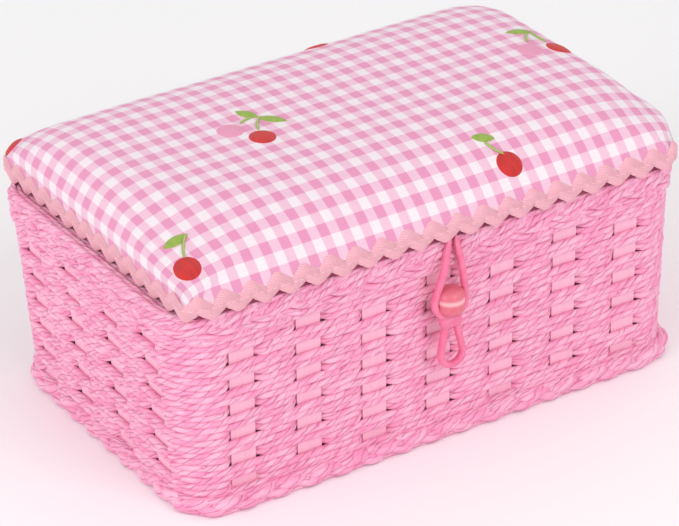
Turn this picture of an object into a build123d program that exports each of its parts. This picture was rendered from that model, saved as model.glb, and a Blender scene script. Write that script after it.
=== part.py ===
"""Wicker sewing box: a woven paper-cord basket with flat stakes, a plaited foot and rim, a lining,
a lift-out tray, a padded lid on two ring hinges, and a soft loop that closes over a bead.

Lengths are in millimetres. The front faces -Y, the long side runs along X, and the box stands on Z = 0.
"""

import os
from math import cos, radians, sin

from build123d import *

os.makedirs("parts", exist_ok=True)

# Woven walls, measured over the crests of the cords and carried down to the floor
wall_length = 237.4
wall_depth = 148.0
wall_corner_radius = 18.0
wall_thickness = 6.4
wall_lean_share = 0.055
course_count = 12
course_height = 6.0
course_crest = 1.2
corner_facets = 5

# Flat stakes that the cords pass in front of and behind
stake_width = 11.3
stake_thickness = 1.0
stake_depth = 2.7
stake_clearance = 0.1
front_stake_count = 7
front_stake_pitch = 31.0
side_stake_count = 4
side_stake_pitch = 33.0
window_height = 4.8

# Plaited foot and rim
foot_height = 8.0
foot_reach = 5.2
foot_round = 3.0
rim_height = 14.0
rim_reach = 2.0
rim_round = 3.5
edge_round_steps = 2

# Base and lining
base_thickness = 4.0
base_lining_thickness = 1.3
lining_thickness = 0.8
lining_gap = 0.1

# Lift-out tray and the two ledges under its ends
tray_rest_z = 52.0
tray_height = 20.0
tray_side_gap = 4.0
tray_corner_radius = 9.0
tray_wall = 1.8
tray_pocket_radius = 4.0
tray_front_pocket_depth = 52.0
tray_back_pocket_count = 3
tray_grip_radius = 10.0
ledge_width = 9.0
ledge_height = 6.0
ledge_length = 84.0
ledge_gap = 0.2

# Padded lid
lid_length = 237.0
lid_depth = 161.6
lid_corner_radius = 8.0
lid_height = 31.0
lid_edge_height = 10.4
lid_crown_corner = 20.0
lid_crown_shares = [
    (0, 1, 1, 0.4),
    (0.12, 1.005, 1.003, 0.48),
    (0.28, 0.997, 0.97, 0.6),
    (0.5, 0.977, 0.905, 0.75),
    (0.76, 0.931, 0.763, 0.9),
    (0.93, 0.846, 0.546, 1),
    (1, 0.68, 0.26, 0.95),
]
lid_seam = 0.3
lid_lining_thickness = 0.8
lid_board_thickness = 3.0
cover_thickness = 0.8
cover_gap = 0.1

# Zigzag braid round the lid's edge
braid_width = 10.2
braid_thickness = 0.9
braid_pitch = 12.0
braid_notch = 3.4
braid_corner_notches = 0

# Ring hinges at the back seam
hinge_spacing = 130.0
hinge_ring_radius = 5.2
hinge_wire = 1.8
hinge_wire_sides = 6
hinge_setback = 2.0
hinge_fit = 0.05
hinge_clearance = 0.3

# Bead on the front wall
bead_radius = 5.5
bead_z = 67.0
bead_reach = 6.9
bead_neck_radius = 2.4
bead_shares = [(0.97, 0.45), (0.5, 0.94), (-0.4, 0.98), (-0.75, 0.74)]
bead_stem_radius = 1.2
bead_base_gap = 0.3
washer_radius = 4.0
washer_thickness = 0.8
washer_inset = 0.3
bead_fit = 0.05

# Soft loop that hangs from a staple in the lid's front edge
staple_wire = 1.4
staple_width = 9.0
staple_reach = 4.2
staple_leg = 7.0
staple_fit = 0.05
loop_thickness = 3.0
loop_eye_wall = 1.5
loop_eye_fit = 0.08
loop_eye_length = 6.0
loop_bead_clearance = 0.7
loop_band = 2.8
loop_neck_drop = 11.0
loop_neck_hole = 0.9
pull_drop = 52.0
pull_radius = 7.0
pull_hole_radius = 4.2
pull_neck_drop = 40.0
pull_neck_radius = 2.6
pull_neck_hole = 0.8
pull_neck_hole_drop = 45.0

# How far a cut runs past the faces that it opens
overrun = 2.0

# Each corner's quadrant, by the angle that its round starts from
corner_signs = {0: (1, 1), 90: (-1, 1), 180: (-1, -1), 270: (1, -1)}


def lean(z):
    """How far the wall has moved outwards at height z."""
    return wall_lean_share * z


def outline(z, inset):
    """Length, depth and corner radius of the wall's outside at height z, drawn in by inset."""
    grow = lean(z) - inset
    return wall_length + 2 * grow, wall_depth + 2 * grow, wall_corner_radius + grow


def lid_outline(inset):
    """Length, depth and corner radius of the lid's outside, drawn in by inset."""
    return lid_length - 2 * inset, lid_depth - 2 * inset, lid_corner_radius - inset


def faceted_outline(length, depth, corner):
    """Points of a rounded rectangle whose corners are turned in short straight steps."""
    points = []
    for turn, (side_x, side_y) in corner_signs.items():
        for facet in range(corner_facets + 1):
            angle = radians(turn + 90 * facet / corner_facets)
            x = side_x * (length / 2 - corner) + corner * cos(angle)
            y = side_y * (depth / 2 - corner) + corner * sin(angle)
            points.append((x, y))
    return points


def spread(count, pitch):
    """Places of count things along a line, pitch apart and centred."""
    return [(i - (count - 1) / 2) * pitch for i in range(count)]


wall_top_z = foot_height + course_count * course_height
rim_top_z = wall_top_z + rim_height
lining_inset = wall_thickness + lining_gap + lining_thickness
base_lining_top_z = foot_height + base_lining_thickness
lid_bottom_z = rim_top_z + lid_seam
lid_board_z = lid_bottom_z + lid_lining_thickness
lid_pad_z = lid_board_z + lid_board_thickness
lid_top_z = lid_bottom_z + lid_height
slot_width = stake_width + 2 * stake_clearance

hinge_y = lid_depth / 2 + cover_gap + braid_thickness + hinge_setback
hinge_z = rim_top_z + lid_seam / 2
hinge_places = [(x, hinge_y, hinge_z) for x in spread(2, hinge_spacing)]

bead_wall_y = -wall_depth / 2 - lean(bead_z)
staple_y = -lid_depth / 2 - staple_reach
staple_z = lid_board_z + lid_board_thickness / 2

# Each wall: its plane with X along the wall and Z outwards, its flat length, and its stakes.
# The last value tells which courses pass behind the first stake, counted from the top course.
front_flat = wall_length - 2 * wall_corner_radius
side_flat = wall_depth - 2 * wall_corner_radius
front_stakes = spread(front_stake_count, front_stake_pitch)
side_stakes = spread(side_stake_count, side_stake_pitch)
walls = {
    "front": (Plane((0, -wall_depth / 2, 0), (1, 0, 0), (0, -1, 0)), front_flat, front_stakes, 1),
    "right": (Plane((wall_length / 2, 0, 0), (0, 1, 0), (1, 0, 0)), side_flat, side_stakes, 0),
    "back": (Plane((0, wall_depth / 2, 0), (-1, 0, 0), (0, 1, 0)), front_flat, front_stakes, 0),
    "left": (Plane((-wall_length / 2, 0, 0), (0, -1, 0), (-1, 0, 0)), side_flat, side_stakes, 1),
}


def section_plane(wall):
    """Upright plane square to a wall, with X outwards and Y up."""
    return Plane(wall.origin, wall.z_dir, wall.z_dir.cross(wall.y_dir))


def course_profile(reach, thickness):
    """Points of the wall's cross-section: one ridge for each course outside, smooth inside."""
    points = []
    for course in range(course_count):
        low = foot_height + course * course_height
        middle = low + course_height / 2
        points.append((reach + lean(low) - course_crest, low))
        points.append((reach + lean(middle), middle))
    points.append((reach + lean(wall_top_z) - course_crest, wall_top_z))
    points.append((reach + lean(wall_top_z) - thickness, wall_top_z))
    points.append((reach + lean(foot_height) - thickness, foot_height))
    return points


def stake_profile(clearance):
    """Points of a stake's cross-section, leaning with the wall and grown by a clearance."""
    outer = clearance - stake_depth
    inner = -clearance - stake_depth - stake_thickness
    return [
        (lean(foot_height) + inner, foot_height),
        (lean(foot_height) + outer, foot_height),
        (lean(wall_top_z) + outer, wall_top_z),
        (lean(wall_top_z) + inner, wall_top_z),
    ]


def flared_prism(z_low, z_high, inset):
    """Solid inside the wall's outside drawn in by inset, between two heights."""
    with BuildPart() as prism:
        for z in (z_low, z_high):
            with BuildSketch(Plane.XY.offset(z)):
                Polygon(*faceted_outline(*outline(z, inset)), align=None)
        loft(ruled=True)
    return prism.part


def crowned_block(inset, z_low):
    """The lid's crowned form drawn in by inset: upright at its edge, then in over soft shoulders."""
    length, depth, corner = lid_outline(inset)
    edge_z = lid_bottom_z + lid_edge_height
    rise = lid_top_z - inset - edge_z
    with BuildPart() as block:
        with BuildSketch(Plane.XY.offset(z_low)):
            Polygon(*faceted_outline(length, depth, corner), align=None)
        for rise_share, length_share, depth_share, corner_share in lid_crown_shares:
            level_corner = corner_share * lid_crown_corner - inset
            level = faceted_outline(length_share * length, depth_share * depth, level_corner)
            with BuildSketch(Plane.XY.offset(edge_z + rise_share * rise)):
                Polygon(*level, align=None)
        loft(ruled=True)
    return block.part


def ring_form(place, grown):
    """Wire ring about the hinge axis at a place, its wire grown all round."""
    with BuildPart() as ring:
        with BuildSketch(Plane(place)):
            with Locations((0, -hinge_ring_radius)):
                RegularPolygon(hinge_wire / 2 + grown, hinge_wire_sides, rotation=180 / hinge_wire_sides)
        revolve(axis=Axis(place, (1, 0, 0)))
    return ring.part


def staple_legs(grown):
    """The two legs of the closure's staple, running into the lid's edge, grown all round."""
    with BuildPart() as legs:
        for x in spread(2, staple_width - staple_wire):
            with BuildSketch(Plane((x, staple_y, staple_z), (1, 0, 0), (0, 1, 0))):
                Circle(staple_wire / 2 + grown)
            extrude(amount=staple_reach + staple_leg + grown)
    return legs.part


def soft_ring(z_low, height, reach, edge_round, inner):
    """Ring round the box with soft outer edges: outside grown by reach, inside cut to an outline."""
    turns = [90 * i / edge_round_steps for i in range(edge_round_steps + 1)]
    low_edge = [(edge_round * (1 - cos(radians(t))), edge_round * (1 - sin(radians(t)))) for t in turns]
    high_edge = [(height - rise, drop) for rise, drop in reversed(low_edge)]
    with BuildPart() as ring:
        for rise, drop in low_edge + high_edge:
            with BuildSketch(Plane.XY.offset(z_low + rise)):
                Polygon(*faceted_outline(*outline(z_low, drop - reach)), align=None)
        loft(ruled=True)
        with BuildSketch(Plane.XY.offset(z_low)):
            RectangleRounded(*inner)
        extrude(amount=height, mode=Mode.SUBTRACT)
    return ring.part


# Foot: a plaited ring round the bottom, flat where it stands
foot_form = soft_ring(0, foot_height, foot_reach, foot_round, outline(foot_height, wall_thickness))
with BuildPart() as foot_border:
    add(foot_form)
foot_border.part.label = "foot_border"
export_step(foot_border.part, "parts/foot_border.step")

# Base board, let into the foot ring flush with its top
with BuildPart() as base_board:
    with BuildSketch(Plane.XY.offset(foot_height - base_thickness)):
        RectangleRounded(*outline(foot_height, wall_thickness))
    extrude(amount=base_thickness)
base_board.part.label = "base_board"
export_step(base_board.part, "parts/base_board.step")

# Woven walls and their stakes
for name, (wall, flat, stake_places, first_course) in walls.items():
    section = section_plane(wall)
    with BuildPart() as stakes:
        for place in stake_places:
            with BuildSketch(section.offset(place)):
                Polygon(*stake_profile(0), align=None)
            extrude(amount=stake_width / 2, both=True)
        if name == "front":
            with Locations(Plane((0, bead_wall_y, bead_z), (1, 0, 0), (0, 1, 0))):
                Cylinder(bead_stem_radius + bead_fit, 2 * wall_thickness, mode=Mode.SUBTRACT)
    stakes.part.label = f"stakes_{name}"
    export_step(stakes.part, f"parts/stakes_{name}.step")

    with BuildPart() as weave:
        with BuildSketch(section):
            Polygon(*course_profile(0, wall_thickness), align=None)
        extrude(amount=flat / 2, both=True)
        for place in stake_places:
            with BuildSketch(section.offset(place)):
                Polygon(*stake_profile(stake_clearance), align=None)
            extrude(amount=slot_width / 2, both=True, mode=Mode.SUBTRACT)
        for course in range(course_count):
            z = wall_top_z - (course + 1 / 2) * course_height
            bare = [(x, z) for i, x in enumerate(stake_places) if (course + i) % 2 == first_course]
            with BuildSketch(wall.offset(lean(z) - stake_depth - stake_thickness / 2)):
                with Locations(*bare):
                    Rectangle(slot_width, window_height)
            extrude(amount=wall_thickness, mode=Mode.SUBTRACT)
        if name == "front":
            with Locations(Plane((0, bead_wall_y, bead_z), (1, 0, 0), (0, 1, 0))):
                Cylinder(bead_stem_radius + bead_fit, 2 * wall_thickness, mode=Mode.SUBTRACT)
            seat_y = bead_wall_y + wall_thickness - washer_inset - washer_thickness
            with BuildSketch(Plane((0, seat_y, bead_z), (1, 0, 0), (0, 1, 0))):
                Circle(washer_radius + bead_fit)
            extrude(amount=wall_thickness, mode=Mode.SUBTRACT)
    weave.part.label = f"weave_{name}"
    export_step(weave.part, f"parts/weave_{name}.step")

# Woven corners, where the courses turn between two walls
corner_x = wall_length / 2 - wall_corner_radius
corner_y = wall_depth / 2 - wall_corner_radius
wall_inside = flared_prism(foot_height, wall_top_z, wall_thickness)
with BuildPart() as weave_corners:
    for turn, (side_x, side_y) in corner_signs.items():
        centre = Vector(side_x * corner_x, side_y * corner_y, 0)
        for facet in range(corner_facets + 1):
            angle = radians(turn + 90 * facet / corner_facets)
            outwards = Vector(cos(angle), sin(angle), 0)
            with BuildSketch(Plane(centre, outwards, outwards.cross(Vector(0, 0, 1)))):
                Polygon(*course_profile(wall_corner_radius, wall_thickness + overrun), align=None)
        loft(ruled=True)
    add(wall_inside, mode=Mode.SUBTRACT)
weave_corners.part.label = "weave_corners"
export_step(weave_corners.part, "parts/weave_corners.step")

# Rim: a thick plaited border on top of the wall, with the holes of the two hinge rings
rim_form = soft_ring(wall_top_z, rim_height, rim_reach, rim_round, outline(wall_top_z, lining_inset))
rim_ring_holes = [ring_form(place, hinge_fit) for place in hinge_places]
with BuildPart() as top_border:
    add(rim_form)
    add(rim_ring_holes, mode=Mode.SUBTRACT)
top_border.part.label = "top_border"
export_step(top_border.part, "parts/top_border.step")

# Fabric lining of the walls and of the floor
lining_outside = flared_prism(foot_height, wall_top_z, wall_thickness + lining_gap)
lining_inside = flared_prism(foot_height, wall_top_z, lining_inset)
with BuildPart() as side_lining:
    add(lining_outside)
    add(lining_inside, mode=Mode.SUBTRACT)
side_lining.part.label = "side_lining"
export_step(side_lining.part, "parts/side_lining.step")

base_lining_form = flared_prism(foot_height, base_lining_top_z, lining_inset + lining_gap)
with BuildPart() as base_lining:
    add(base_lining_form)
base_lining.part.label = "base_lining"
export_step(base_lining.part, "parts/base_lining.step")

# Ledges on the two end walls, which carry the tray
ledge_top_z = tray_rest_z - ledge_gap
ledge_low_z = ledge_top_z - ledge_height
ledge_inset = lining_inset + lining_gap
for name, side in {"left": -1, "right": 1}.items():
    reach_low = outline(ledge_low_z, ledge_inset)[0] / 2
    reach_top = outline(ledge_top_z, ledge_inset)[0] / 2
    with BuildPart() as tray_ledge:
        with BuildSketch(Plane.XZ):
            Polygon(
                (side * reach_low, ledge_low_z),
                (side * reach_top, ledge_top_z),
                (side * (reach_top - ledge_width), ledge_top_z),
                (side * (reach_low - ledge_width), ledge_low_z),
                align=None,
            )
        extrude(amount=ledge_length / 2, both=True)
    tray_ledge.part.label = f"tray_ledge_{name}"
    export_step(tray_ledge.part, f"parts/tray_ledge_{name}.step")

# Moulded tray: one long pocket in front and a row of smaller ones behind, with grips at the ends
tray_length, tray_depth = outline(tray_rest_z, lining_inset + tray_side_gap)[:2]
tray_top_z = tray_rest_z + tray_height
front_pocket_y = -tray_depth / 2 + tray_wall + tray_front_pocket_depth / 2
back_pocket_depth = tray_depth - tray_front_pocket_depth - 3 * tray_wall
back_pocket_y = tray_depth / 2 - tray_wall - back_pocket_depth / 2
pocket_span = tray_length - 2 * tray_wall
back_pocket_pitch = (pocket_span + tray_wall) / tray_back_pocket_count
back_pocket_places = [(x, back_pocket_y) for x in spread(tray_back_pocket_count, back_pocket_pitch)]
with BuildPart() as tray:
    with BuildSketch(Plane.XY.offset(tray_rest_z)):
        RectangleRounded(tray_length, tray_depth, tray_corner_radius)
    extrude(amount=tray_height)
    with BuildSketch(Plane.XY.offset(tray_rest_z + tray_wall)):
        with Locations((0, front_pocket_y)):
            RectangleRounded(pocket_span, tray_front_pocket_depth, tray_pocket_radius)
        with Locations(*back_pocket_places):
            RectangleRounded(back_pocket_pitch - tray_wall, back_pocket_depth, tray_pocket_radius)
    extrude(amount=tray_height, mode=Mode.SUBTRACT)
    for end in (-1, 1):
        with BuildSketch(Plane.YZ.offset(end * (tray_length - tray_wall) / 2)):
            with Locations((front_pocket_y, tray_top_z)):
                Circle(tray_grip_radius)
        extrude(amount=tray_wall, both=True, mode=Mode.SUBTRACT)
tray.part.label = "tray"
export_step(tray.part, "parts/tray.step")

# Lid: lining, board, crowned pad and the fabric drawn over them
lid_ring_holes = [ring_form(place, hinge_clearance) for place in hinge_places]
with BuildPart() as lid_lining:
    with BuildSketch(Plane.XY.offset(lid_bottom_z)):
        Polygon(*faceted_outline(*lid_outline(cover_thickness + cover_gap)), align=None)
    extrude(amount=lid_lining_thickness)
    add(lid_ring_holes, mode=Mode.SUBTRACT)
lid_lining.part.label = "lid_lining"
export_step(lid_lining.part, "parts/lid_lining.step")

staple_holes = staple_legs(staple_fit)
with BuildPart() as lid_board:
    with BuildSketch(Plane.XY.offset(lid_board_z)):
        Polygon(*faceted_outline(*lid_outline(cover_thickness + cover_gap)), align=None)
    extrude(amount=lid_board_thickness)
    add(lid_ring_holes, mode=Mode.SUBTRACT)
    add(staple_holes, mode=Mode.SUBTRACT)
lid_board.part.label = "lid_board"
export_step(lid_board.part, "parts/lid_board.step")

pad_form = crowned_block(cover_thickness + cover_gap, lid_pad_z)
with BuildPart() as lid_pad:
    add(pad_form)
    add(lid_ring_holes, mode=Mode.SUBTRACT)
lid_pad.part.label = "lid_pad"
export_step(lid_pad.part, "parts/lid_pad.step")

cover_outside = crowned_block(0, lid_bottom_z)
cover_inside = crowned_block(cover_thickness, lid_bottom_z - overrun)
with BuildPart() as lid_cover:
    add(cover_outside)
    add(cover_inside, mode=Mode.SUBTRACT)
    add(lid_ring_holes, mode=Mode.SUBTRACT)
    add(staple_holes, mode=Mode.SUBTRACT)
lid_cover.part.label = "lid_cover"
export_step(lid_cover.part, "parts/lid_cover.step")

# Zigzag braid: a band round the lid's edge with points above and below, half a pitch apart
braid_low_z = lid_bottom_z
braid_top_z = braid_low_z + braid_width
front_run = lid_length - 2 * lid_corner_radius
side_run = lid_depth - 2 * lid_corner_radius


def braid_notch_shape(place, low):
    """Draws one V-shaped notch of the braid's low or high edge at a place along a run."""
    edge_z, inwards = (braid_low_z, 1) if low else (braid_top_z, -1)
    Polygon(
        (place - braid_pitch, edge_z - inwards * braid_notch),
        (place, edge_z + inwards * braid_notch),
        (place + braid_pitch, edge_z - inwards * braid_notch),
        align=None,
    )


with BuildPart() as ricrac_trim:
    with BuildSketch(Plane.XY.offset(braid_low_z)):
        Polygon(*faceted_outline(*lid_outline(-cover_gap - braid_thickness)), align=None)
        Polygon(*faceted_outline(*lid_outline(-cover_gap)), align=None, mode=Mode.SUBTRACT)
    extrude(amount=braid_width)
    for run, plane, reach in ((front_run, Plane.XZ, lid_depth), (side_run, Plane.YZ, lid_length)):
        half_waves = 2 * round(run / braid_pitch) + 1
        with BuildSketch(plane):
            for i, place in enumerate(spread(half_waves, run / (half_waves - 1))):
                braid_notch_shape(place, i % 2 == 1)
        extrude(amount=reach, both=True, mode=Mode.SUBTRACT)
    for turn, (side_x, side_y) in corner_signs.items():
        centre = Vector(side_x * front_run / 2, side_y * side_run / 2, 0)
        for i in range(1, 2 * braid_corner_notches + 2):
            angle = turn + 90 * i / (2 * braid_corner_notches + 2)
            outwards = Vector(cos(radians(angle)), sin(radians(angle)), 0)
            with BuildSketch(Plane(centre, Vector(0, 0, 1).cross(outwards), outwards)):
                braid_notch_shape(0, i % 2 == 1)
            extrude(amount=lid_corner_radius + braid_thickness + overrun, mode=Mode.SUBTRACT)
    add(lid_ring_holes, mode=Mode.SUBTRACT)
    add(staple_holes, mode=Mode.SUBTRACT)
ricrac_trim.part.label = "ricrac_trim"
export_step(ricrac_trim.part, "parts/ricrac_trim.step")

# Hinge rings, threaded through the rim and the lid's back edge
for name, place in zip(("left", "right"), hinge_places):
    with BuildPart() as hinge_ring:
        add(ring_form(place, 0))
    hinge_ring.part.label = f"hinge_ring_{name}"
    export_step(hinge_ring.part, f"parts/hinge_ring_{name}.step")

# Bead: a turned knob whose stem goes through the wall to a washer on the inside
stem_end = washer_inset - wall_thickness
bead_points = [(bead_reach + out * bead_radius, size * bead_radius) for out, size in bead_shares]
neck_end = bead_reach + bead_shares[-1][0] * bead_radius
with BuildPart() as closure_bead:
    with BuildSketch(Plane((0, bead_wall_y, bead_z), (0, -1, 0), (-1, 0, 0))):
        Polygon(
            (bead_points[0][0], 0),
            *bead_points,
            (neck_end, bead_neck_radius),
            (bead_base_gap, bead_neck_radius),
            (bead_base_gap, bead_stem_radius),
            (stem_end, bead_stem_radius),
            (stem_end, 0),
            align=None,
        )
    revolve(axis=Axis((0, bead_wall_y, bead_z), (0, -1, 0)))
closure_bead.part.label = "closure_bead"
export_step(closure_bead.part, "parts/closure_bead.step")

with BuildPart() as bead_washer:
    with BuildSketch(Plane((0, bead_wall_y - stem_end, bead_z), (1, 0, 0), (0, -1, 0))):
        Circle(washer_radius)
        Circle(bead_stem_radius + bead_fit, mode=Mode.SUBTRACT)
    extrude(amount=washer_thickness)
bead_washer.part.label = "bead_washer"
export_step(bead_washer.part, "parts/bead_washer.step")

# Staple in the lid's front edge, which the loop hangs from
with BuildPart() as closure_staple:
    with BuildSketch(Plane((-staple_width / 2, staple_y, staple_z), (0, 1, 0), (1, 0, 0))):
        Circle(staple_wire / 2)
    extrude(amount=staple_width)
    add(staple_legs(0))
closure_staple.part.label = "closure_staple"
export_step(closure_staple.part, "parts/closure_staple.step")

# Soft loop: an eye on the staple, a drop-shaped opening round the bead, and a small pull below
eye_radius = staple_wire / 2 + loop_eye_fit + loop_eye_wall
bead_drop = staple_z - bead_z
loop_hole_radius = bead_radius + loop_bead_clearance
loop_plane = Plane((0, staple_y, staple_z), (1, 0, 0), (0, -1, 0))


def drop_shape(top_drop, top_radius, low_drop, low_radius):
    """Draws a drop that hangs from a small round end to a large one."""
    with BuildSketch(loop_plane) as drop:
        with Locations((0, -top_drop)):
            Circle(top_radius)
        with Locations((0, -low_drop)):
            Circle(low_radius)
        make_hull()
    return drop.sketch


loop_outside = drop_shape(0, eye_radius, bead_drop, loop_hole_radius + loop_band)
loop_hole = drop_shape(loop_neck_drop, loop_neck_hole, bead_drop, loop_hole_radius)
pull_outside = drop_shape(pull_neck_drop, pull_neck_radius, pull_drop, pull_radius)
pull_hole = drop_shape(pull_neck_hole_drop, pull_neck_hole, pull_drop, pull_hole_radius)
with BuildPart() as closure_loop:
    for form in (loop_outside, pull_outside):
        extrude(form, amount=loop_thickness / 2, both=True)
    for form in (loop_hole, pull_hole):
        extrude(form, amount=loop_thickness, both=True, mode=Mode.SUBTRACT)
    with Locations(Plane((0, staple_y, staple_z), (0, 1, 0), (1, 0, 0))):
        Cylinder(eye_radius, loop_eye_length)
        Cylinder(staple_wire / 2 + loop_eye_fit, staple_width, mode=Mode.SUBTRACT)
closure_loop.part.label = "closure_loop"
export_step(closure_loop.part, "parts/closure_loop.step")
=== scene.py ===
"""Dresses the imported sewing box: woven paper cords, plaited foot and rim, padded gingham lid and closure.

Lengths are in metres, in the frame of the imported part: the front faces -Y and the box stands on Z = 0.
"""

import logging
import math
from dataclasses import dataclass
from enum import Enum
from functools import cache
from typing import Any

import bpy
import numpy as np
from mathutils import Matrix, Vector
from mathutils.bvhtree import BVHTree


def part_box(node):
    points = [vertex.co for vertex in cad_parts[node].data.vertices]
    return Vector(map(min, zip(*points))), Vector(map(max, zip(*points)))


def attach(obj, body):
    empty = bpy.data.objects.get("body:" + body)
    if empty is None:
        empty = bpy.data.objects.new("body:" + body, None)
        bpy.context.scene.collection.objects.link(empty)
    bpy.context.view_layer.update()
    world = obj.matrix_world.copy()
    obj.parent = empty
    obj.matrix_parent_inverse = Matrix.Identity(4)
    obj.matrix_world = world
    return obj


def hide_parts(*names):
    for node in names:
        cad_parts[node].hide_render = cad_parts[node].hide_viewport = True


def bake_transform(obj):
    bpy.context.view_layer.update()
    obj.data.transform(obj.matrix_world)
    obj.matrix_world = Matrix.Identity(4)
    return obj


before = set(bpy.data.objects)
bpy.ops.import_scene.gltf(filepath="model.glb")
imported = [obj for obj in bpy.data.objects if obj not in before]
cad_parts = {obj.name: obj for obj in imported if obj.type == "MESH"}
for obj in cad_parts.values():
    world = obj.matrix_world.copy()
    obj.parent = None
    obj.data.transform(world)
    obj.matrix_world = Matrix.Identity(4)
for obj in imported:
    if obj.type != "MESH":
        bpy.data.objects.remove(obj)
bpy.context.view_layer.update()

log = logging.getLogger("sewing_box")

Colour = tuple[float, float, float, float]
Place = tuple[float, float]
Spot = tuple[float, float, float]
Socket = bpy.types.NodeSocket
Tree = bpy.types.NodeTree

full_turn = 2 * math.pi


def colour(code: str) -> Colour:
    """Turns a hex colour of the screen into the linear colour that a shader takes.

    Args:
        code: Six hex digits, red first.

    Returns:
        Red, green, blue and an alpha of 1.
    """
    parts = [int(code[i : i + 2], 16) / 255 for i in (0, 2, 4)]
    linear = [p / 12.92 if p <= 0.04045 else ((p + 0.055) / 1.055) ** 2.4 for p in parts]
    return (*linear, 1.0)


def smooth(value: np.ndarray, low: float, high: float) -> np.ndarray:
    """Share of the way from low to high, eased at both ends."""
    share = np.clip((value - low) / (high - low), 0, 1)
    return share**2 * (3 - 2 * share)


def squared(wave: np.ndarray, power: float) -> np.ndarray:
    """A sine or cosine, drawn towards a square wave by a power below 1."""
    return np.sign(wave) * np.abs(wave) ** power


class Body(Enum):
    """The moving bodies that pieces ride on."""

    BASKET = "basket"
    LID = "lid"
    CLOSURE = "closure"


class Graph:
    """Adds nodes to a shader tree and links them."""

    def __init__(self, tree: Tree) -> None:
        """Keeps the tree that the nodes go into."""
        self.tree = tree

    def feed(self, socket: Socket, value: Any) -> None:
        """Links a socket to an output, or sets its value.

        Args:
            socket: The input socket.
            value: An output socket, or the value itself.
        """
        if isinstance(value, Socket):
            self.tree.links.new(value, socket)
        else:
            socket.default_value = value

    def add(self, kind: str, inputs: dict[Any, Any] | None = None, **settings: Any) -> bpy.types.Node:
        """Adds one node.

        Args:
            kind: The node's type, without the leading word that all shader nodes share.
            inputs: Values or outputs for the node's input sockets, by name or number.
            **settings: The node's own properties.

        Returns:
            The new node.
        """
        node = self.tree.nodes.new(f"ShaderNode{kind}")
        for name, value in settings.items():
            setattr(node, name, value)
        for key, value in (inputs or {}).items():
            self.feed(node.inputs[key], value)
        return node

    def group(self, tree: Tree, values: dict[str, Any]) -> Any:
        """Outputs of a shared group that is fed with values."""
        return self.add("Group", values, node_tree=tree).outputs

    def math(self, operation: str, first: Any, second: Any = 0.0, third: Any = 0.0) -> Socket:
        """Result of a Math node on up to three values."""
        return self.add("Math", {0: first, 1: second, 2: third}, operation=operation).outputs[0]

    def times(self, first: Any, second: Any) -> Socket:
        """Product of two values."""
        return self.math("MULTIPLY", first, second)

    def vector(self, x: Any, y: Any, z: Any) -> Socket:
        """Three values as one vector."""
        return self.add("CombineXYZ", {0: x, 1: y, 2: z}).outputs[0]

    def split(self, vector: Any) -> Any:
        """The three values of a vector."""
        return self.add("SeparateXYZ", {0: vector}).outputs

    def texture_place(self) -> Socket:
        """Place on the piece's texture."""
        return self.add("UVMap").outputs[0]

    def own_place(self) -> Socket:
        """Place in the piece itself."""
        return self.add("TexCoord").outputs["Object"]

    def mix(self, factor: Any, first: Any, second: Any) -> Socket:
        """Colour between two colours, each an output or six hex digits."""
        ends = [colour(c) if isinstance(c, str) else c for c in (first, second)]
        return self.add("Mix", {0: factor, 6: ends[0], 7: ends[1]}, data_type="RGBA").outputs[2]

    def noise(self, place: Any, scale: Any = 1.0, detail: float = 2.0) -> Socket:
        """Soft noise from 0 to 1 at a place."""
        return self.add("TexNoise", {"Vector": place, "Scale": scale, "Detail": detail}).outputs[0]

    def ramp(self, value: Any, low: float, high: float, least: float = 0.0, most: float = 1.0) -> Socket:
        """Smooth step of a value from one range to another."""
        inputs = {0: value, 1: low, 2: high, 3: least, 4: most}
        return self.add("MapRange", inputs, interpolation_type="SMOOTHSTEP").outputs[0]

    def bump(self, height: Any, distance: float) -> Socket:
        """Normal that a height gives."""
        return self.add("Bump", {"Height": height, "Distance": distance, "Strength": 1.0}).outputs[0]


def shader_group(name: str, inputs: dict[str, str], outputs: list[str]) -> tuple[Graph, Any, Any]:
    """Starts a node group whose outputs are single values.

    Args:
        name: The group's name.
        inputs: The kind of socket for each named input, Float or Vector.
        outputs: Names of the outputs.

    Returns:
        The group's graph, its inputs by name and its output node's sockets.
    """
    tree = bpy.data.node_groups.new(name, "ShaderNodeTree")
    for socket, kind in inputs.items():
        tree.interface.new_socket(socket, in_out="INPUT", socket_type=f"NodeSocket{kind}")
    for socket in outputs:
        tree.interface.new_socket(socket, in_out="OUTPUT", socket_type="NodeSocketFloat")
    start = tree.nodes.new("NodeGroupInput")
    end = tree.nodes.new("NodeGroupOutput")
    return Graph(tree), start.outputs, end.inputs


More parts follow.
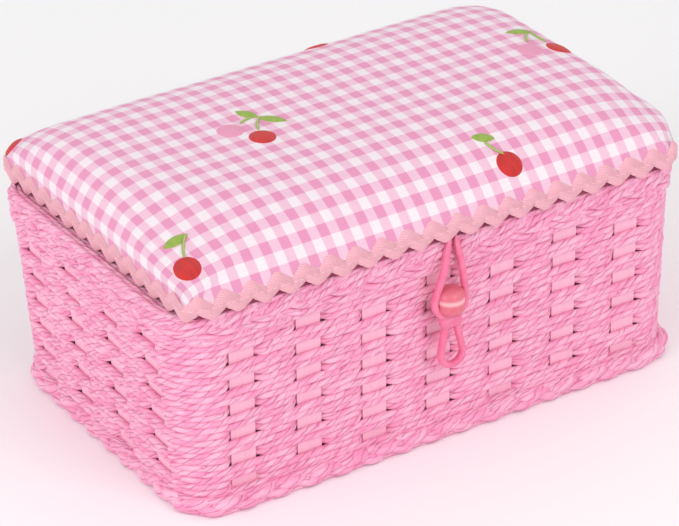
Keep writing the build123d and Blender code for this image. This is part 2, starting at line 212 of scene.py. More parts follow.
@cache
def paper_twist_group() -> Tree:
    """Twisted paper: ridges that wind round a cord, with fine creases between them, and a mask for painted
    shade in the creases.

    Returns:
        The group, with Height, Groove and Tone as outputs.
    """
    inputs = {"Turn": "Float", "Ridges": "Float"}
    graph, start, end = shader_group("paper_twist", inputs, ["Height", "PaintedCreaseShade", "Tone"])
    travel, around, _ = graph.split(graph.texture_place())
    winding = graph.math("ADD", around, graph.math("DIVIDE", travel, start["Turn"]))
    drift = graph.noise(graph.vector(graph.times(winding, 1.5), graph.times(travel, 110.0), 0.0))
    bands = graph.times(winding, start["Ridges"])
    phase = graph.math("MULTIPLY_ADD", graph.math("SUBTRACT", drift, 0.5), 2.4, bands)
    ridge = graph.math("ABSOLUTE", graph.math("COSINE", graph.times(phase, math.pi)))
    crease = graph.noise(graph.vector(graph.times(bands, 1.7), graph.times(travel, 60.0), 3.0), detail=4.0)
    body = graph.math("POWER", ridge, 0.5)
    graph.feed(end["Height"], graph.math("MULTIPLY_ADD", crease, 1.3, graph.times(body, 0.7)))
    # Painted shade: the cord gets its deep pink where the creases and the hollows between the ridges lie.
    crease_shade = graph.math("MULTIPLY_ADD", crease, 0.6, graph.times(body, 0.5))
    graph.feed(end["PaintedCreaseShade"], graph.ramp(crease_shade, 0.62, 0.3))
    patches = graph.vector(graph.times(travel, 70.0), graph.times(winding, 2.0), 7.0)
    graph.feed(end["Tone"], graph.noise(patches, detail=3.0))
    return graph.tree


@cache
def thread_weave_group() -> Tree:
    """Plain weave: threads that pass over and under each other.

    Returns:
        The group, with Height and Slub as outputs.
    """
    inputs = {"Place": "Vector", "Thread": "Float"}
    graph, start, end = shader_group("thread_weave", inputs, ["Height", "Slub"])
    place = graph.split(start["Place"])
    turns = [graph.times(graph.math("DIVIDE", p, start["Thread"]), math.pi) for p in place[:2]]
    over = graph.times(*[graph.math("SINE", turn) for turn in turns])
    graph.feed(end["Height"], graph.math("MULTIPLY_ADD", over, 0.5, 0.5))
    streaks = [
        graph.noise(graph.vector(graph.times(place[i], 900.0), graph.times(place[1 - i], 40.0), i))
        for i in (0, 1)
    ]
    graph.feed(end["Slub"], graph.times(graph.math("ADD", *streaks), 0.5))
    return graph.tree


@cache
def mottle_group() -> Tree:
    """Uneven moulding or grain, read from the piece's own place.

    Returns:
        The group, with Broad and Fine as outputs.
    """
    inputs = {"Place": "Vector", "Scale": "Float"}
    graph, start, end = shader_group("mottle", inputs, ["Broad", "Fine"])
    for name, factor in {"Broad": 1.0, "Fine": 9.0}.items():
        graph.feed(end[name], graph.noise(start["Place"], graph.times(start["Scale"], factor), 3.0))
    return graph.tree


@dataclass(frozen=True)
class Finish:
    """A surface finish, made into one material."""

    name: str

    @cache
    def material(self) -> bpy.types.Material:
        """Makes the material on the first call.

        Returns:
            The material, which equal finishes share.
        """
        material = bpy.data.materials.new(f"{self.name}_finish")
        material.use_nodes = True
        material.node_tree.nodes.clear()
        graph = Graph(material.node_tree)
        shader = graph.add("BsdfPrincipled", self.sockets(graph))
        graph.add("OutputMaterial", {0: shader.outputs[0]})
        return material

    def sockets(self, graph: Graph) -> dict[str, Any]:
        """What goes into the shader. Each finish has its own.

        Args:
            graph: The material's graph.

        Returns:
            Values or outputs for the shader's sockets, by name.
        """
        raise NotImplementedError


@dataclass(frozen=True)
class PaperCord(Finish):
    """Twisted pink paper cord, with painted shade of deeper pink in its creases."""

    light: str = "FEBDD7"
    middle: str = "F99BC3"
    # deep is the painted shade colour for the creases.
    deep: str = "E4629C"
    turn: float = 0.0150
    ridges: float = 3.0
    relief: float = 0.0006

    def sockets(self, graph: Graph) -> dict[str, Any]:
        """The twist's colour and relief."""
        twist = graph.group(paper_twist_group(), {"Turn": self.turn, "Ridges": self.ridges})
        body = graph.mix(graph.ramp(twist["Tone"], 0.35, 0.65), self.light, self.middle)
        return {
            # The deep pink in the creases is painted shade.
            "Base Color": graph.mix(graph.times(twist["PaintedCreaseShade"], 0.75), body, self.deep),
            "Roughness": graph.ramp(twist["Tone"], 0.2, 0.8, 0.45, 0.62),
            "Normal": graph.bump(twist["Height"], self.relief),
            "Specular IOR Level": 0.35,
            "Sheen Weight": 0.1,
        }


@dataclass(frozen=True)
class FlatStrip(Finish):
    """Pale flat stake with a fine upright grain."""

    light: str = "FDC9DC"
    deep: str = "F9B2CF"
    grain: float = 700.0
    stretch: Spot = (1.0, 1.0, 0.04)

    def sockets(self, graph: Graph) -> dict[str, Any]:
        """The grain."""
        drawn = {0: graph.own_place(), 1: self.stretch}
        grain = graph.noise(graph.add("VectorMath", drawn, operation="MULTIPLY").outputs[0], self.grain, 4.0)
        return {
            "Base Color": graph.mix(grain, self.light, self.deep),
            "Roughness": graph.ramp(grain, 0.2, 0.8, 0.4, 0.55),
            "Normal": graph.bump(grain, 0.0001),
        }


@dataclass(frozen=True)
class Gingham(Finish):
    """Woven check in white and two pinks on the flat cloth's own measure."""

    white: str = "FCF1F6"
    light: str = "F9CBE0"
    deep: str = "F09BC2"
    slub: str = "E9A9CB"
    periods: tuple[float, float] = (0.00885, 0.0110)
    thread: float = 0.00036

    def stripe(self, graph: Graph, place: Any, period: float) -> Socket:
        """Mask of the pink stripes across one direction of the cloth."""
        wave = graph.math("SINE", graph.times(place, full_turn / period))
        return graph.ramp(wave, -0.12, 0.12)

    def sockets(self, graph: Graph) -> dict[str, Any]:
        """The check and the weave."""
        cloth = graph.texture_place()
        stripes = [self.stripe(graph, p, period) for p, period in zip(graph.split(cloth), self.periods)]
        weave = graph.group(thread_weave_group(), {"Place": cloth, "Thread": self.thread})
        either = graph.mix(graph.math("MAXIMUM", *stripes), self.white, self.light)
        check = graph.mix(graph.times(*stripes), either, self.deep)
        return {
            "Base Color": graph.mix(graph.ramp(weave["Slub"], 0.3, 0.7, 0.0, 0.12), check, self.slub),
            "Roughness": graph.ramp(weave["Slub"], 0.3, 0.7, 0.75, 0.9),
            "Normal": graph.bump(weave["Height"], 0.00012),
            "Sheen Weight": 0.15,
        }


@dataclass(frozen=True)
class PlainCloth(Finish):
    """Plain weave cotton in one colour."""

    light: str = "FBC4DA"
    deep: str = "F2A0C3"
    thread: float = 0.00045

    def sockets(self, graph: Graph) -> dict[str, Any]:
        """The weave and its slubs."""
        values = {"Place": graph.texture_place(), "Thread": self.thread}
        weave = graph.group(thread_weave_group(), values)
        return {
            "Base Color": graph.mix(weave["Slub"], self.light, self.deep),
            "Roughness": graph.ramp(weave["Slub"], 0.3, 0.7, 0.75, 0.92),
            "Normal": graph.bump(weave["Height"], 0.00015),
            "Sheen Weight": 0.2,
        }


@dataclass(frozen=True)
class RibbedBraid(Finish):
    """Salmon zigzag braid with slanting ribs, with painted shade in the troughs between the ribs."""

    light: str = "FFBCCA"
    deep: str = "F99FB4"
    slub: str = "FFD3D8"
    rib: float = 0.0009

    def sockets(self, graph: Graph) -> dict[str, Any]:
        """The ribs, which slant both ways from the middle."""
        cloth = graph.texture_place()
        along, across, _ = graph.split(cloth)
        slant = graph.math("ADD", along, graph.math("ABSOLUTE", across))
        rib = graph.math("SINE", graph.times(slant, full_turn / self.rib))
        weave = graph.group(thread_weave_group(), {"Place": cloth, "Thread": self.rib / 2})
        # Painted shade: the deep colour darkens the troughs between the ribs.
        body = graph.mix(graph.ramp(rib, 0.2, -1.0, 0.0, 0.55), self.light, self.deep)
        return {
            "Base Color": graph.mix(graph.ramp(weave["Slub"], 0.4, 0.8, 0.0, 0.3), body, self.slub),
            "Roughness": graph.ramp(weave["Slub"], 0.3, 0.7, 0.6, 0.8),
            "Normal": graph.bump(rib, 0.00012),
            "Sheen Weight": 0.1,
        }


@dataclass(frozen=True)
class SilkThread(Finish):
    """Embroidery thread laid side by side in satin stitch."""

    light: str = "F63834"
    deep: str = "BE0C16"
    thread: float = 0.0004
    relief: float = 0.00007

    def sockets(self, graph: Graph) -> dict[str, Any]:
        """The threads' ridges, with painted light on their crests and painted shade between them, over a
        random drift of tone.
        """
        along, across, _ = graph.split(graph.texture_place())
        drift = graph.noise(graph.vector(graph.times(along, 500.0), graph.times(across, 90.0), 1.0))
        row = graph.math("ADD", across, graph.times(drift, 0.0006))
        ridge = graph.math("SINE", graph.times(row, full_turn / self.thread))
        # Partly painted light: the ridges lighten each thread's crest and darken between threads; the drift
        # is the thread's random tone.
        ridge_shading_and_drift = graph.math("MULTIPLY_ADD", ridge, 0.2, graph.times(drift, 0.8))
        return {
            "Base Color": graph.mix(graph.ramp(ridge_shading_and_drift, 0.15, 0.65), self.deep, self.light),
            "Roughness": graph.ramp(drift, 0.3, 0.7, 0.35, 0.55),
            "Normal": graph.bump(ridge, self.relief),
        }


@dataclass(frozen=True)
class SoftPlastic(Finish):
    """Moulded plastic with a slight unevenness, clear enough to glow a little."""

    light: str = "FA96B6"
    deep: str = "E6568A"
    rough: float = 0.22
    glow: float = 0.15

    def sockets(self, graph: Graph) -> dict[str, Any]:
        """The mottled colour."""
        mottle = graph.group(mottle_group(), {"Place": graph.own_place(), "Scale": 220.0})
        return {
            "Base Color": graph.mix(mottle["Broad"], self.light, self.deep),
            "Roughness": graph.ramp(mottle["Fine"], 0.3, 0.7, self.rough, self.rough + 0.1),
            "Normal": graph.bump(mottle["Broad"], 0.0001),
            "Subsurface Weight": self.glow,
            "Subsurface Radius": (0.003, 0.001, 0.001),
            "Subsurface Scale": 1.0,
            "IOR": 1.46,
        }


@dataclass(frozen=True)
class HighlightedPlastic(SoftPlastic):
    """Moulded plastic with a painted highlight: a pale band round its middle."""

    # pale is the colour of the painted highlight.
    pale: str = "FFDCDE"
    highlight_middle: float = 0.16
    highlight_half: float = 0.3

    def sockets(self, graph: Graph) -> dict[str, Any]:
        """The painted highlight band over the mottled colour."""
        values = super().sockets(graph)
        # Painted highlight: a pale band across the bead's middle.
        rise = graph.split(graph.texture_place())[1]
        apart = graph.math("ABSOLUTE", graph.math("SUBTRACT", rise, self.highlight_middle))
        band = graph.ramp(apart, self.highlight_half, 0.0, 0.0, 0.6)
        return {**values, "Base Color": graph.mix(band, values["Base Color"], self.pale)}


@dataclass(frozen=True)
class CoatedWire(Finish):
    """Wire with a thin pink coat."""

    light: str = "E8A0B4"
    deep: str = "C86484"

    def sockets(self, graph: Graph) -> dict[str, Any]:
        """A coat that is a little uneven."""
        mottle = graph.group(mottle_group(), {"Place": graph.own_place(), "Scale": 300.0})
        return {
            "Base Color": graph.mix(mottle["Broad"], self.light, self.deep),
            "Roughness": graph.ramp(mottle["Fine"], 0.3, 0.7, 0.25, 0.4),
            "Normal": graph.bump(mottle["Fine"], 0.00005),
            "Coat Weight": 0.3,
        }


@dataclass(frozen=True)
class PressedBoard(Finish):
    """Board of pressed fibres."""

    light: str = "B79A77"
    deep: str = "8E714F"

    def sockets(self, graph: Graph) -> dict[str, Any]:
        """The fibres' flecks."""
        mottle = graph.group(mottle_group(), {"Place": graph.own_place(), "Scale": 60.0})
        fleck = graph.times(graph.math("ADD", mottle["Broad"], mottle["Fine"]), 0.5)
        return {
            "Base Color": graph.mix(graph.ramp(fleck, 0.35, 0.65), self.light, self.deep),
            "Roughness": graph.ramp(mottle["Fine"], 0.3, 0.7, 0.7, 0.85),
            "Normal": graph.bump(mottle["Fine"], 0.0001),
        }


@dataclass(frozen=True)
class StudioFloor(Finish):
    """Plain white floor."""

    shade: str = "FFFEFF"

    def sockets(self, graph: Graph) -> dict[str, Any]:
        """One plain colour."""
        return {"Base Color": colour(self.shade), "Roughness": 0.9, "Specular IOR Level": 0.1}


class PieceMesh:
    """Grids of quads, with their texture places, gathered into one piece."""

    def __init__(self) -> None:
        """Starts with no vertices."""
        self.vertices: list[np.ndarray] = []
        self.quads: list[np.ndarray] = []
        self.places: list[np.ndarray] = []
        self.count = 0

    def add_grid(
        self, points: np.ndarray, places: np.ndarray, wrap_rows: bool = False, wrap_columns: bool = False
    ) -> None:
        """Adds a grid of quads that faces along its columns' direction times its rows' direction.

        Args:
            points: Vertices by row and column.
            places: Texture places by row and column, with one more where the grid wraps.
            wrap_rows: Whether the last row joins the first.
            wrap_columns: Whether the last column joins the first.
        """
        rows, columns = points.shape[:2]
        row_steps = np.arange(rows if wrap_rows else rows - 1)
        column_steps = np.arange(columns if wrap_columns else columns - 1)
        row, column = np.meshgrid(row_steps, column_steps, indexing="ij")
        corners = [(row, column), (row, column + 1), (row + 1, column + 1), (row + 1, column)]
        quads = [self.count + (r % rows) * columns + c % columns for r, c in corners]
        self.quads.append(np.stack(quads, axis=-1).reshape(-1, 4))
        self.places.append(np.stack([places[r, c] for r, c in corners], axis=-2).reshape(-1, 2))
        self.vertices.append(points.reshape(-1, 3))
        self.count += rows * columns

    def add_rings(self, rings: list[np.ndarray], places: list[np.ndarray], closing: float = 0.0) -> None:
        """Adds a closed band through its rings.

        Args:
            rings: Points of each ring, from one edge of the band to the other.
            places: Texture places of the same points.
            closing: How far the texture has moved along after one round.
        """
        flat = np.stack(places, axis=1)
        closed = np.concatenate([flat, flat[:1] + [closing, 0.0]])
        self.add_grid(np.stack(rings, axis=1), closed, wrap_rows=True)

    def add_tube(
        self,
        path: np.ndarray,
        outward: np.ndarray,
        radius: np.ndarray | float,
        sides: int,
        closed: bool = True,
        flatten: float = 1.0,
        power: float = 1.0,
        turn: float = 0.0165,
        start: float = 0.0,
    ) -> None:
        """Adds a tube along a path, with its texture seam on the side away from outward.

        Args:
            path: Points of the middle line.
            outward: Directions that the section's first axis follows.
            radius: One radius, or one for each point.
            sides: Sides of the section.
            closed: Whether the path is a loop.
            flatten: Size of the section across, as a share of its size outward.
            power: Below 1, the section gets squarer.
            turn: Length that a loop's texture is fitted to whole numbers of.
            start: Where the texture starts along the path.
        """
        ahead = np.roll(path, -1, 0) - np.roll(path, 1, 0) if closed else np.gradient(path, axis=0)
        ahead = ahead / np.linalg.norm(ahead, axis=1, keepdims=True)
        normal = outward - ahead * np.sum(outward * ahead, axis=1, keepdims=True)
        normal = normal / np.linalg.norm(normal, axis=1, keepdims=True)
        across = np.cross(ahead, normal)
        angles = math.pi + np.arange(sides) * full_turn / sides
        out, side = (squared(f(angles), power) for f in (np.cos, np.sin))
        ring = out[None, :, None] * normal[:, None] + flatten * side[None, :, None] * across[:, None]
        points = path[:, None] + np.broadcast_to(radius, len(path))[:, None, None] * ring
        ends = np.vstack([path, path[:1]]) if closed else path
        travel = np.concatenate([[0.0], np.cumsum(np.linalg.norm(np.diff(ends, axis=0), axis=1))])
        if closed:
            travel *= max(round(travel[-1] / turn), 1) * turn / travel[-1]
        places = np.stack(np.meshgrid(start + travel, np.arange(sides + 1) / sides, indexing="ij"), axis=-1)
        self.add_grid(points, places, wrap_rows=closed, wrap_columns=True)

    def piece(self, name: str, finish: Finish, body: Body | None, slot: str, *nodes: str) -> bpy.types.Object:
        """Makes the gathered grids one object.

        Args:
            name: The piece's name.
            finish: Its finish.
            body: The body that it rides on, or none to leave it on no body.
            slot: The record's material slot; not used.
            *nodes: CAD nodes that it takes the place of.

        Returns:
            The new object.
        """
        mesh = bpy.data.meshes.new(name)
        mesh.from_pydata(np.concatenate(self.vertices).tolist(), [], np.concatenate(self.quads).tolist())
        layer = mesh.uv_layers.new(name="UVMap")
        layer.data.foreach_set("uv", np.concatenate(self.places).astype(np.float32).ravel())
        mesh.shade_smooth()
        mesh.materials.append(finish.material())
        piece = bpy.data.objects.new(name, mesh)
        bpy.context.scene.collection.objects.link(piece)
        if body:
            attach(piece, body.value)
        if nodes:
            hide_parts(*nodes)
        log.info("%s: %d vertices", name, self.count)
        return piece


@dataclass(frozen=True)
class Wobble:
    """Unevenness round a loop: the range of its wave counts, and its size."""

    low: int
    high: int
    amount: float


@dataclass(frozen=True)
class Stations:
    """Places round a rounded loop: a core point, the way out, the way along, and the travel so far."""

    core: np.ndarray
    normal: np.ndarray
    tangent: np.ndarray
    travel: np.ndarray
    length: float

    def place(self, reach: Any, height: Any, along: Any = 0.0) -> np.ndarray:
        """Points at a reach from the core and a height, moved along the loop.

        Args:
            reach: Distance out from the core, one or one for each station.
            height: Height, one or one for each station.
            along: Shift along the loop, one or one for each station.

        Returns:
            One point for each station.
        """
        full = [np.broadcast_to(v, len(self.travel))[:, None] for v in (reach, height, along)]
        upward = np.array([[0.0, 0.0, 1.0]])
        return self.core + self.normal * full[0] + upward * full[1] + self.tangent * full[2]

    def wobble(self, rng: np.random.Generator, kind: Wobble, waves: int = 6) -> np.ndarray:
        """Smooth unevenness that closes on itself, from a few waves of random count and start.

        Args:
            rng: Source of the waves.
            kind: Their counts and size.
            waves: How many there are.

        Returns:
            One value for each station.
        """
        counts = rng.integers(kind.low, kind.high, waves)
        starts = rng.uniform(0, full_turn, waves)
        turns = full_turn * self.travel[:, None] / self.length
        return kind.amount * np.cos(turns * counts + starts).sum(axis=1) / math.sqrt(waves)


@dataclass(frozen=True)
class RoundedLoop:
    """Rectangle of core points with rounded corners, walked from the back to the left, front and right."""

    half_length: float
    half_depth: float
    radius: float

    @property
    def arc(self) -> float:
        """Length of one corner's round."""
        return self.radius * math.pi / 2

    def sides(self) -> list[tuple[np.ndarray, np.ndarray, float]]:
        """Start, end and outward angle of each side, in walking order.

        Returns:
            One entry for each of the four sides.
        """
        signs = [(1, 1), (-1, 1), (-1, -1), (1, -1), (1, 1)]
        corners = [np.array([x * self.half_length, y * self.half_depth, 0.0]) for x, y in signs]
        return [(corners[i], corners[i + 1], math.pi / 2 * (i + 1)) for i in range(4)]

    def middles(self) -> list[float]:
        """Travel at the middle of each side, in walking order.

        Returns:
            One distance for each of the four sides.
        """
        travel, found = 0.0, []
        for start, end, _ in self.sides():
            side = float(np.linalg.norm(end - start))
            found.append(travel + side / 2)
            travel += side + self.arc
        return found

    def stations(self, step: float) -> Stations:
        """Places round the loop about a step apart.

        Args:
            step: Distance wanted between two places.

        Returns:
            The stations of one closed round.
        """
        core, angle, travel, done = [], [], [], 0.0
        for start, end, facing in self.sides():
            side = float(np.linalg.norm(end - start))
            runs = [(side, start, end - start, 0.0), (self.arc, end, 0 * end, math.pi / 2)]
            for length, place, way, turn in runs:
                share = np.arange(math.ceil(length / step)) / math.ceil(length / step)
                core.append(place + way * share[:, None])
                angle.append(facing + turn * share)
                travel.append(done + length * share)
                done += length
        turned = np.concatenate(angle)
        flat = np.zeros_like(turned)
        normal = np.stack([np.cos(turned), np.sin(turned), flat], axis=1)
        tangent = np.stack([-np.sin(turned), np.cos(turned), flat], axis=1)
        return Stations(np.concatenate(core), normal, tangent, np.concatenate(travel), done)


@dataclass(frozen=True)
class WovenWall:
    """The basket's wall: courses of paired cord that pass in front of and behind the stakes."""

    lean: float = 0.055
    courses: int = 12
    front_stakes: int = 7
    front_pitch: float = 0.031
    side_stakes: int = 4
    side_pitch: float = 0.033
    stake_depth: float = 0.0032
    cord_radius: float = 0.00152
    flatten: float = 1.08
    front_reach: float = 0.0016
    behind_reach: float = 0.0021
    plateau: float = 0.0051
    dive: float = 0.0050
    height_wobble: Wobble = Wobble(12, 45, 0.00022)
    reach_wobble: Wobble = Wobble(20, 60, 0.00014)
    girth_wobble: Wobble = Wobble(30, 120, 0.035)
    step: float = 0.0014
    sides: int = 12
    seed: int = 11

    @property
    def high(self) -> float:
        """Height of the top course's top."""
        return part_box("weave_front")[1].z

    @property
    def course_height(self) -> float:
        """Height of one course."""
        return (self.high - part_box("weave_front")[0].z) / self.courses

    @property
    def radius(self) -> float:
        """Corner radius over the cords' crests, carried down to the floor."""
        crest = self.high - self.course_height / 2
        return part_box("weave_corners")[1].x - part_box("weave_front")[1].x - self.lean * crest

    def loop(self) -> RoundedLoop:
        """The wall's loop of core points."""
        middle_reach = self.reach(self.high / 2)
        return RoundedLoop(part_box("weave_front")[1].x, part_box("weave_right")[1].y, middle_reach)

    def reach(self, height: Any) -> Any:
        """Distance from the core to the crests of the cords at a height."""
        return self.radius + self.lean * height

    def stakes(self) -> np.ndarray:
        """Travel at each stake, in walking order.

        Returns:
            One distance for each stake.
        """
        counts = [(self.front_stakes, self.front_pitch), (self.side_stakes, self.side_pitch)] * 2
        rows = [
            middle + (np.arange(count) - (count - 1) / 2) * pitch
            for middle, (count, pitch) in zip(self.loop().middles(), counts)
        ]
        return np.concatenate(rows)

    def swing_at(self, stations: Stations, course: int) -> np.ndarray:
        """How far a course lies from the stakes' middle plane: in front, but behind every second stake.

        Args:
            stations: Places round the wall.
            course: The course, counted from the top.

        Returns:
            One distance for each station.
        """
        marks = self.stakes()
        behind = marks[(course + np.arange(len(marks))) % 2 == 0]
        apart = np.abs(stations.travel[:, None] - behind)
        nearest = np.minimum(apart, stations.length - apart).min(axis=1)
        share = smooth(nearest, self.plateau, self.plateau + self.dive)
        return self.front_reach * share - self.behind_reach * (1 - share)

    def build(self) -> None:
        """Makes each course's two cords one piece in place of the CAD walls."""
        stations = self.loop().stations(self.step)
        rng = np.random.default_rng(self.seed)
        nodes = [f"weave_{part}" for part in ("front", "right", "back", "left", "corners")]
        for course in range(self.courses):
            mesh = PieceMesh()
            swing = self.swing_at(stations, course)
            middle = self.high - (course + 1 / 2) * self.course_height
            for part in (-1, 1):
                height = middle + part * self.course_height / 4 + stations.wobble(rng, self.height_wobble)
                uneven = stations.wobble(rng, self.reach_wobble)
                path = stations.place(self.reach(height) - self.stake_depth + swing + uneven, height)
                radius = self.cord_radius * (1 + stations.wobble(rng, self.girth_wobble))
                start = rng.uniform(0, 1)
                mesh.add_tube(path, stations.normal, radius, self.sides, flatten=self.flatten, start=start)
            name = f"cord_course_{course + 1:02d}"
            mesh.piece(name, PaperCord("paper_cord"), Body.BASKET, "paper_cord", *nodes)


@dataclass(frozen=True)
class PlaitedBorder:
    """A plait of three strands that runs round the box, with plain cords laid behind it and over its top."""

    name: str
    node: str
    finish: PaperCord
    sway: float
    depth: float
    pitch: float
    cord_radius: float
    row_radius: float
    row_depth: float
    rows: int
    cap_sink: float
    pair_gap: float = 0.0
    left_tuck: float = 0.0
    cap_rows: int = 2
    cap_spacing_share: float = 1.5
    cap_shift: float = 0.004
    strand_wobble: Wobble = Wobble(30, 90, 0.00012)
    girth_wobble: Wobble = Wobble(40, 160, 0.04)
    row_wobble: Wobble = Wobble(20, 50, 0.0001)
    step: float = 0.0015
    sides: int = 10
    strands: int = 3

    def strand(
        self,
        mesh: PieceMesh,
        stations: Stations,
        strand: int,
        reach: Any,
        middle: float,
        rng: np.random.Generator,
    ) -> None:
        """Adds one strand, of one cord or of two side by side.

        Args:
            mesh: The piece that the strand goes into.
            stations: Places round the box.
            strand: Which of the strands it is.
            reach: Distance from the core to the plait's middle at each station.
            middle: Height of the plait's middle.
            rng: Source of the cords' unevenness.
        """
        waves = full_turn * round(stations.length / self.pitch) / stations.length
        phase = waves * stations.travel + full_turn * strand / self.strands
        slope = self.sway * waves * np.cos(phase)
        stretch = np.sqrt(1 + slope**2)
        for gap in (-self.pair_gap, self.pair_gap) if self.pair_gap else (0.0,):
            height = middle + self.sway * np.sin(phase) + gap / stretch
            height += stations.wobble(rng, self.strand_wobble)
            out = reach + self.depth * np.sin(2 * phase) + stations.wobble(rng, self.strand_wobble)
            path = stations.place(out, height, -gap * slope / stretch)
            radius = self.cord_radius * (1 + stations.wobble(rng, self.girth_wobble))
            start = rng.uniform(0, 1)
            mesh.add_tube(path, stations.normal, radius, self.sides, turn=self.finish.turn, start=start)

    def build(self, wall: WovenWall) -> None:
        """Makes the plait and the cords behind it in place of the CAD ring.

        Args:
            wall: The wall that the border follows.
        """
        low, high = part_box(self.node)
        stations = wall.loop().stations(self.step)
        middle = (low.z + high.z) / 2
        leftward = np.clip(-stations.normal[:, 0], 0, 1) ** 2
        outside = high.x - wall.loop().half_length - self.left_tuck * leftward
        reach = outside - self.depth - self.cord_radius
        rng = np.random.default_rng(len(self.name))
        mesh = PieceMesh()
        for strand in range(self.strands):
            self.strand(mesh, stations, strand, reach, middle, rng)
        row_reach = outside - self.row_depth - self.row_radius
        cords = []
        for row in range(self.rows):
            height = low.z + (high.z - low.z) * (row + 1 / 2) / self.rows
            cords.append((row_reach, height + stations.wobble(rng, self.row_wobble), 0.0))
        for row in range(self.cap_rows):
            inset = self.cap_spacing_share * (row + 1) * self.row_radius
            cords.append((row_reach - inset, high.z - self.cap_sink, row * self.cap_shift))
        turn = self.finish.turn
        for out, height, start in cords:
            path = stations.place(out, height)
            mesh.add_tube(path, -stations.normal, self.row_radius, self.sides, turn=turn, start=start)
        mesh.piece(self.name, self.finish, Body.BASKET, "paper_cord", self.node)


@dataclass(frozen=True)
class FlatCloth:
    """A nearly flat cloth inside a rounded outline, a little fuller in some places."""

    name: str
    node: str
    body: Body
    held: str
    rests_on: str
    corner: float
    swell: float
    step: float = 0.004
    rings: int = 28

    def build(self, height: float) -> None:
        """Makes the cloth in place of its CAD node.

        Args:
            height: Height of the cloth.
        """
        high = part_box(self.node)[1]
        stations = RoundedLoop(high.x - self.corner, high.y - self.corner, self.corner).stations(self.step)
        rings = []
        for share in np.linspace(1, 0, self.rings):
            ring = (stations.core + stations.normal * self.corner) * share
            fullness = np.sin(ring[:, 0] * 130) * np.cos(ring[:, 1] * 110 + 0.5)
            ring[:, 2] = height + self.swell * fullness * (1 - share**6)
            rings.append(ring)
        mesh = PieceMesh()
        mesh.add_rings(rings, [ring[:, :2] for ring in rings])
        piece = mesh.piece(self.name, PlainCloth("lining_cloth"), self.body, "lining_cloth", self.node)


@dataclass(frozen=True)
class Shoulder:
    """How one side of the lid's pad turns over into its top."""

    power: float
    fall: float
    bulge: float

    def reach(self, half: float, rise: np.ndarray) -> np.ndarray:
        """Distance from the lid's middle to the cloth at each share of the rise, for one half-size."""
        swell = np.sin(math.pi * np.clip((rise - 0.1) / 0.5, 0, 1)) ** 2
        return half * (1 - rise ** (1 / self.fall)) ** (1 / self.power) + self.bulge * swell


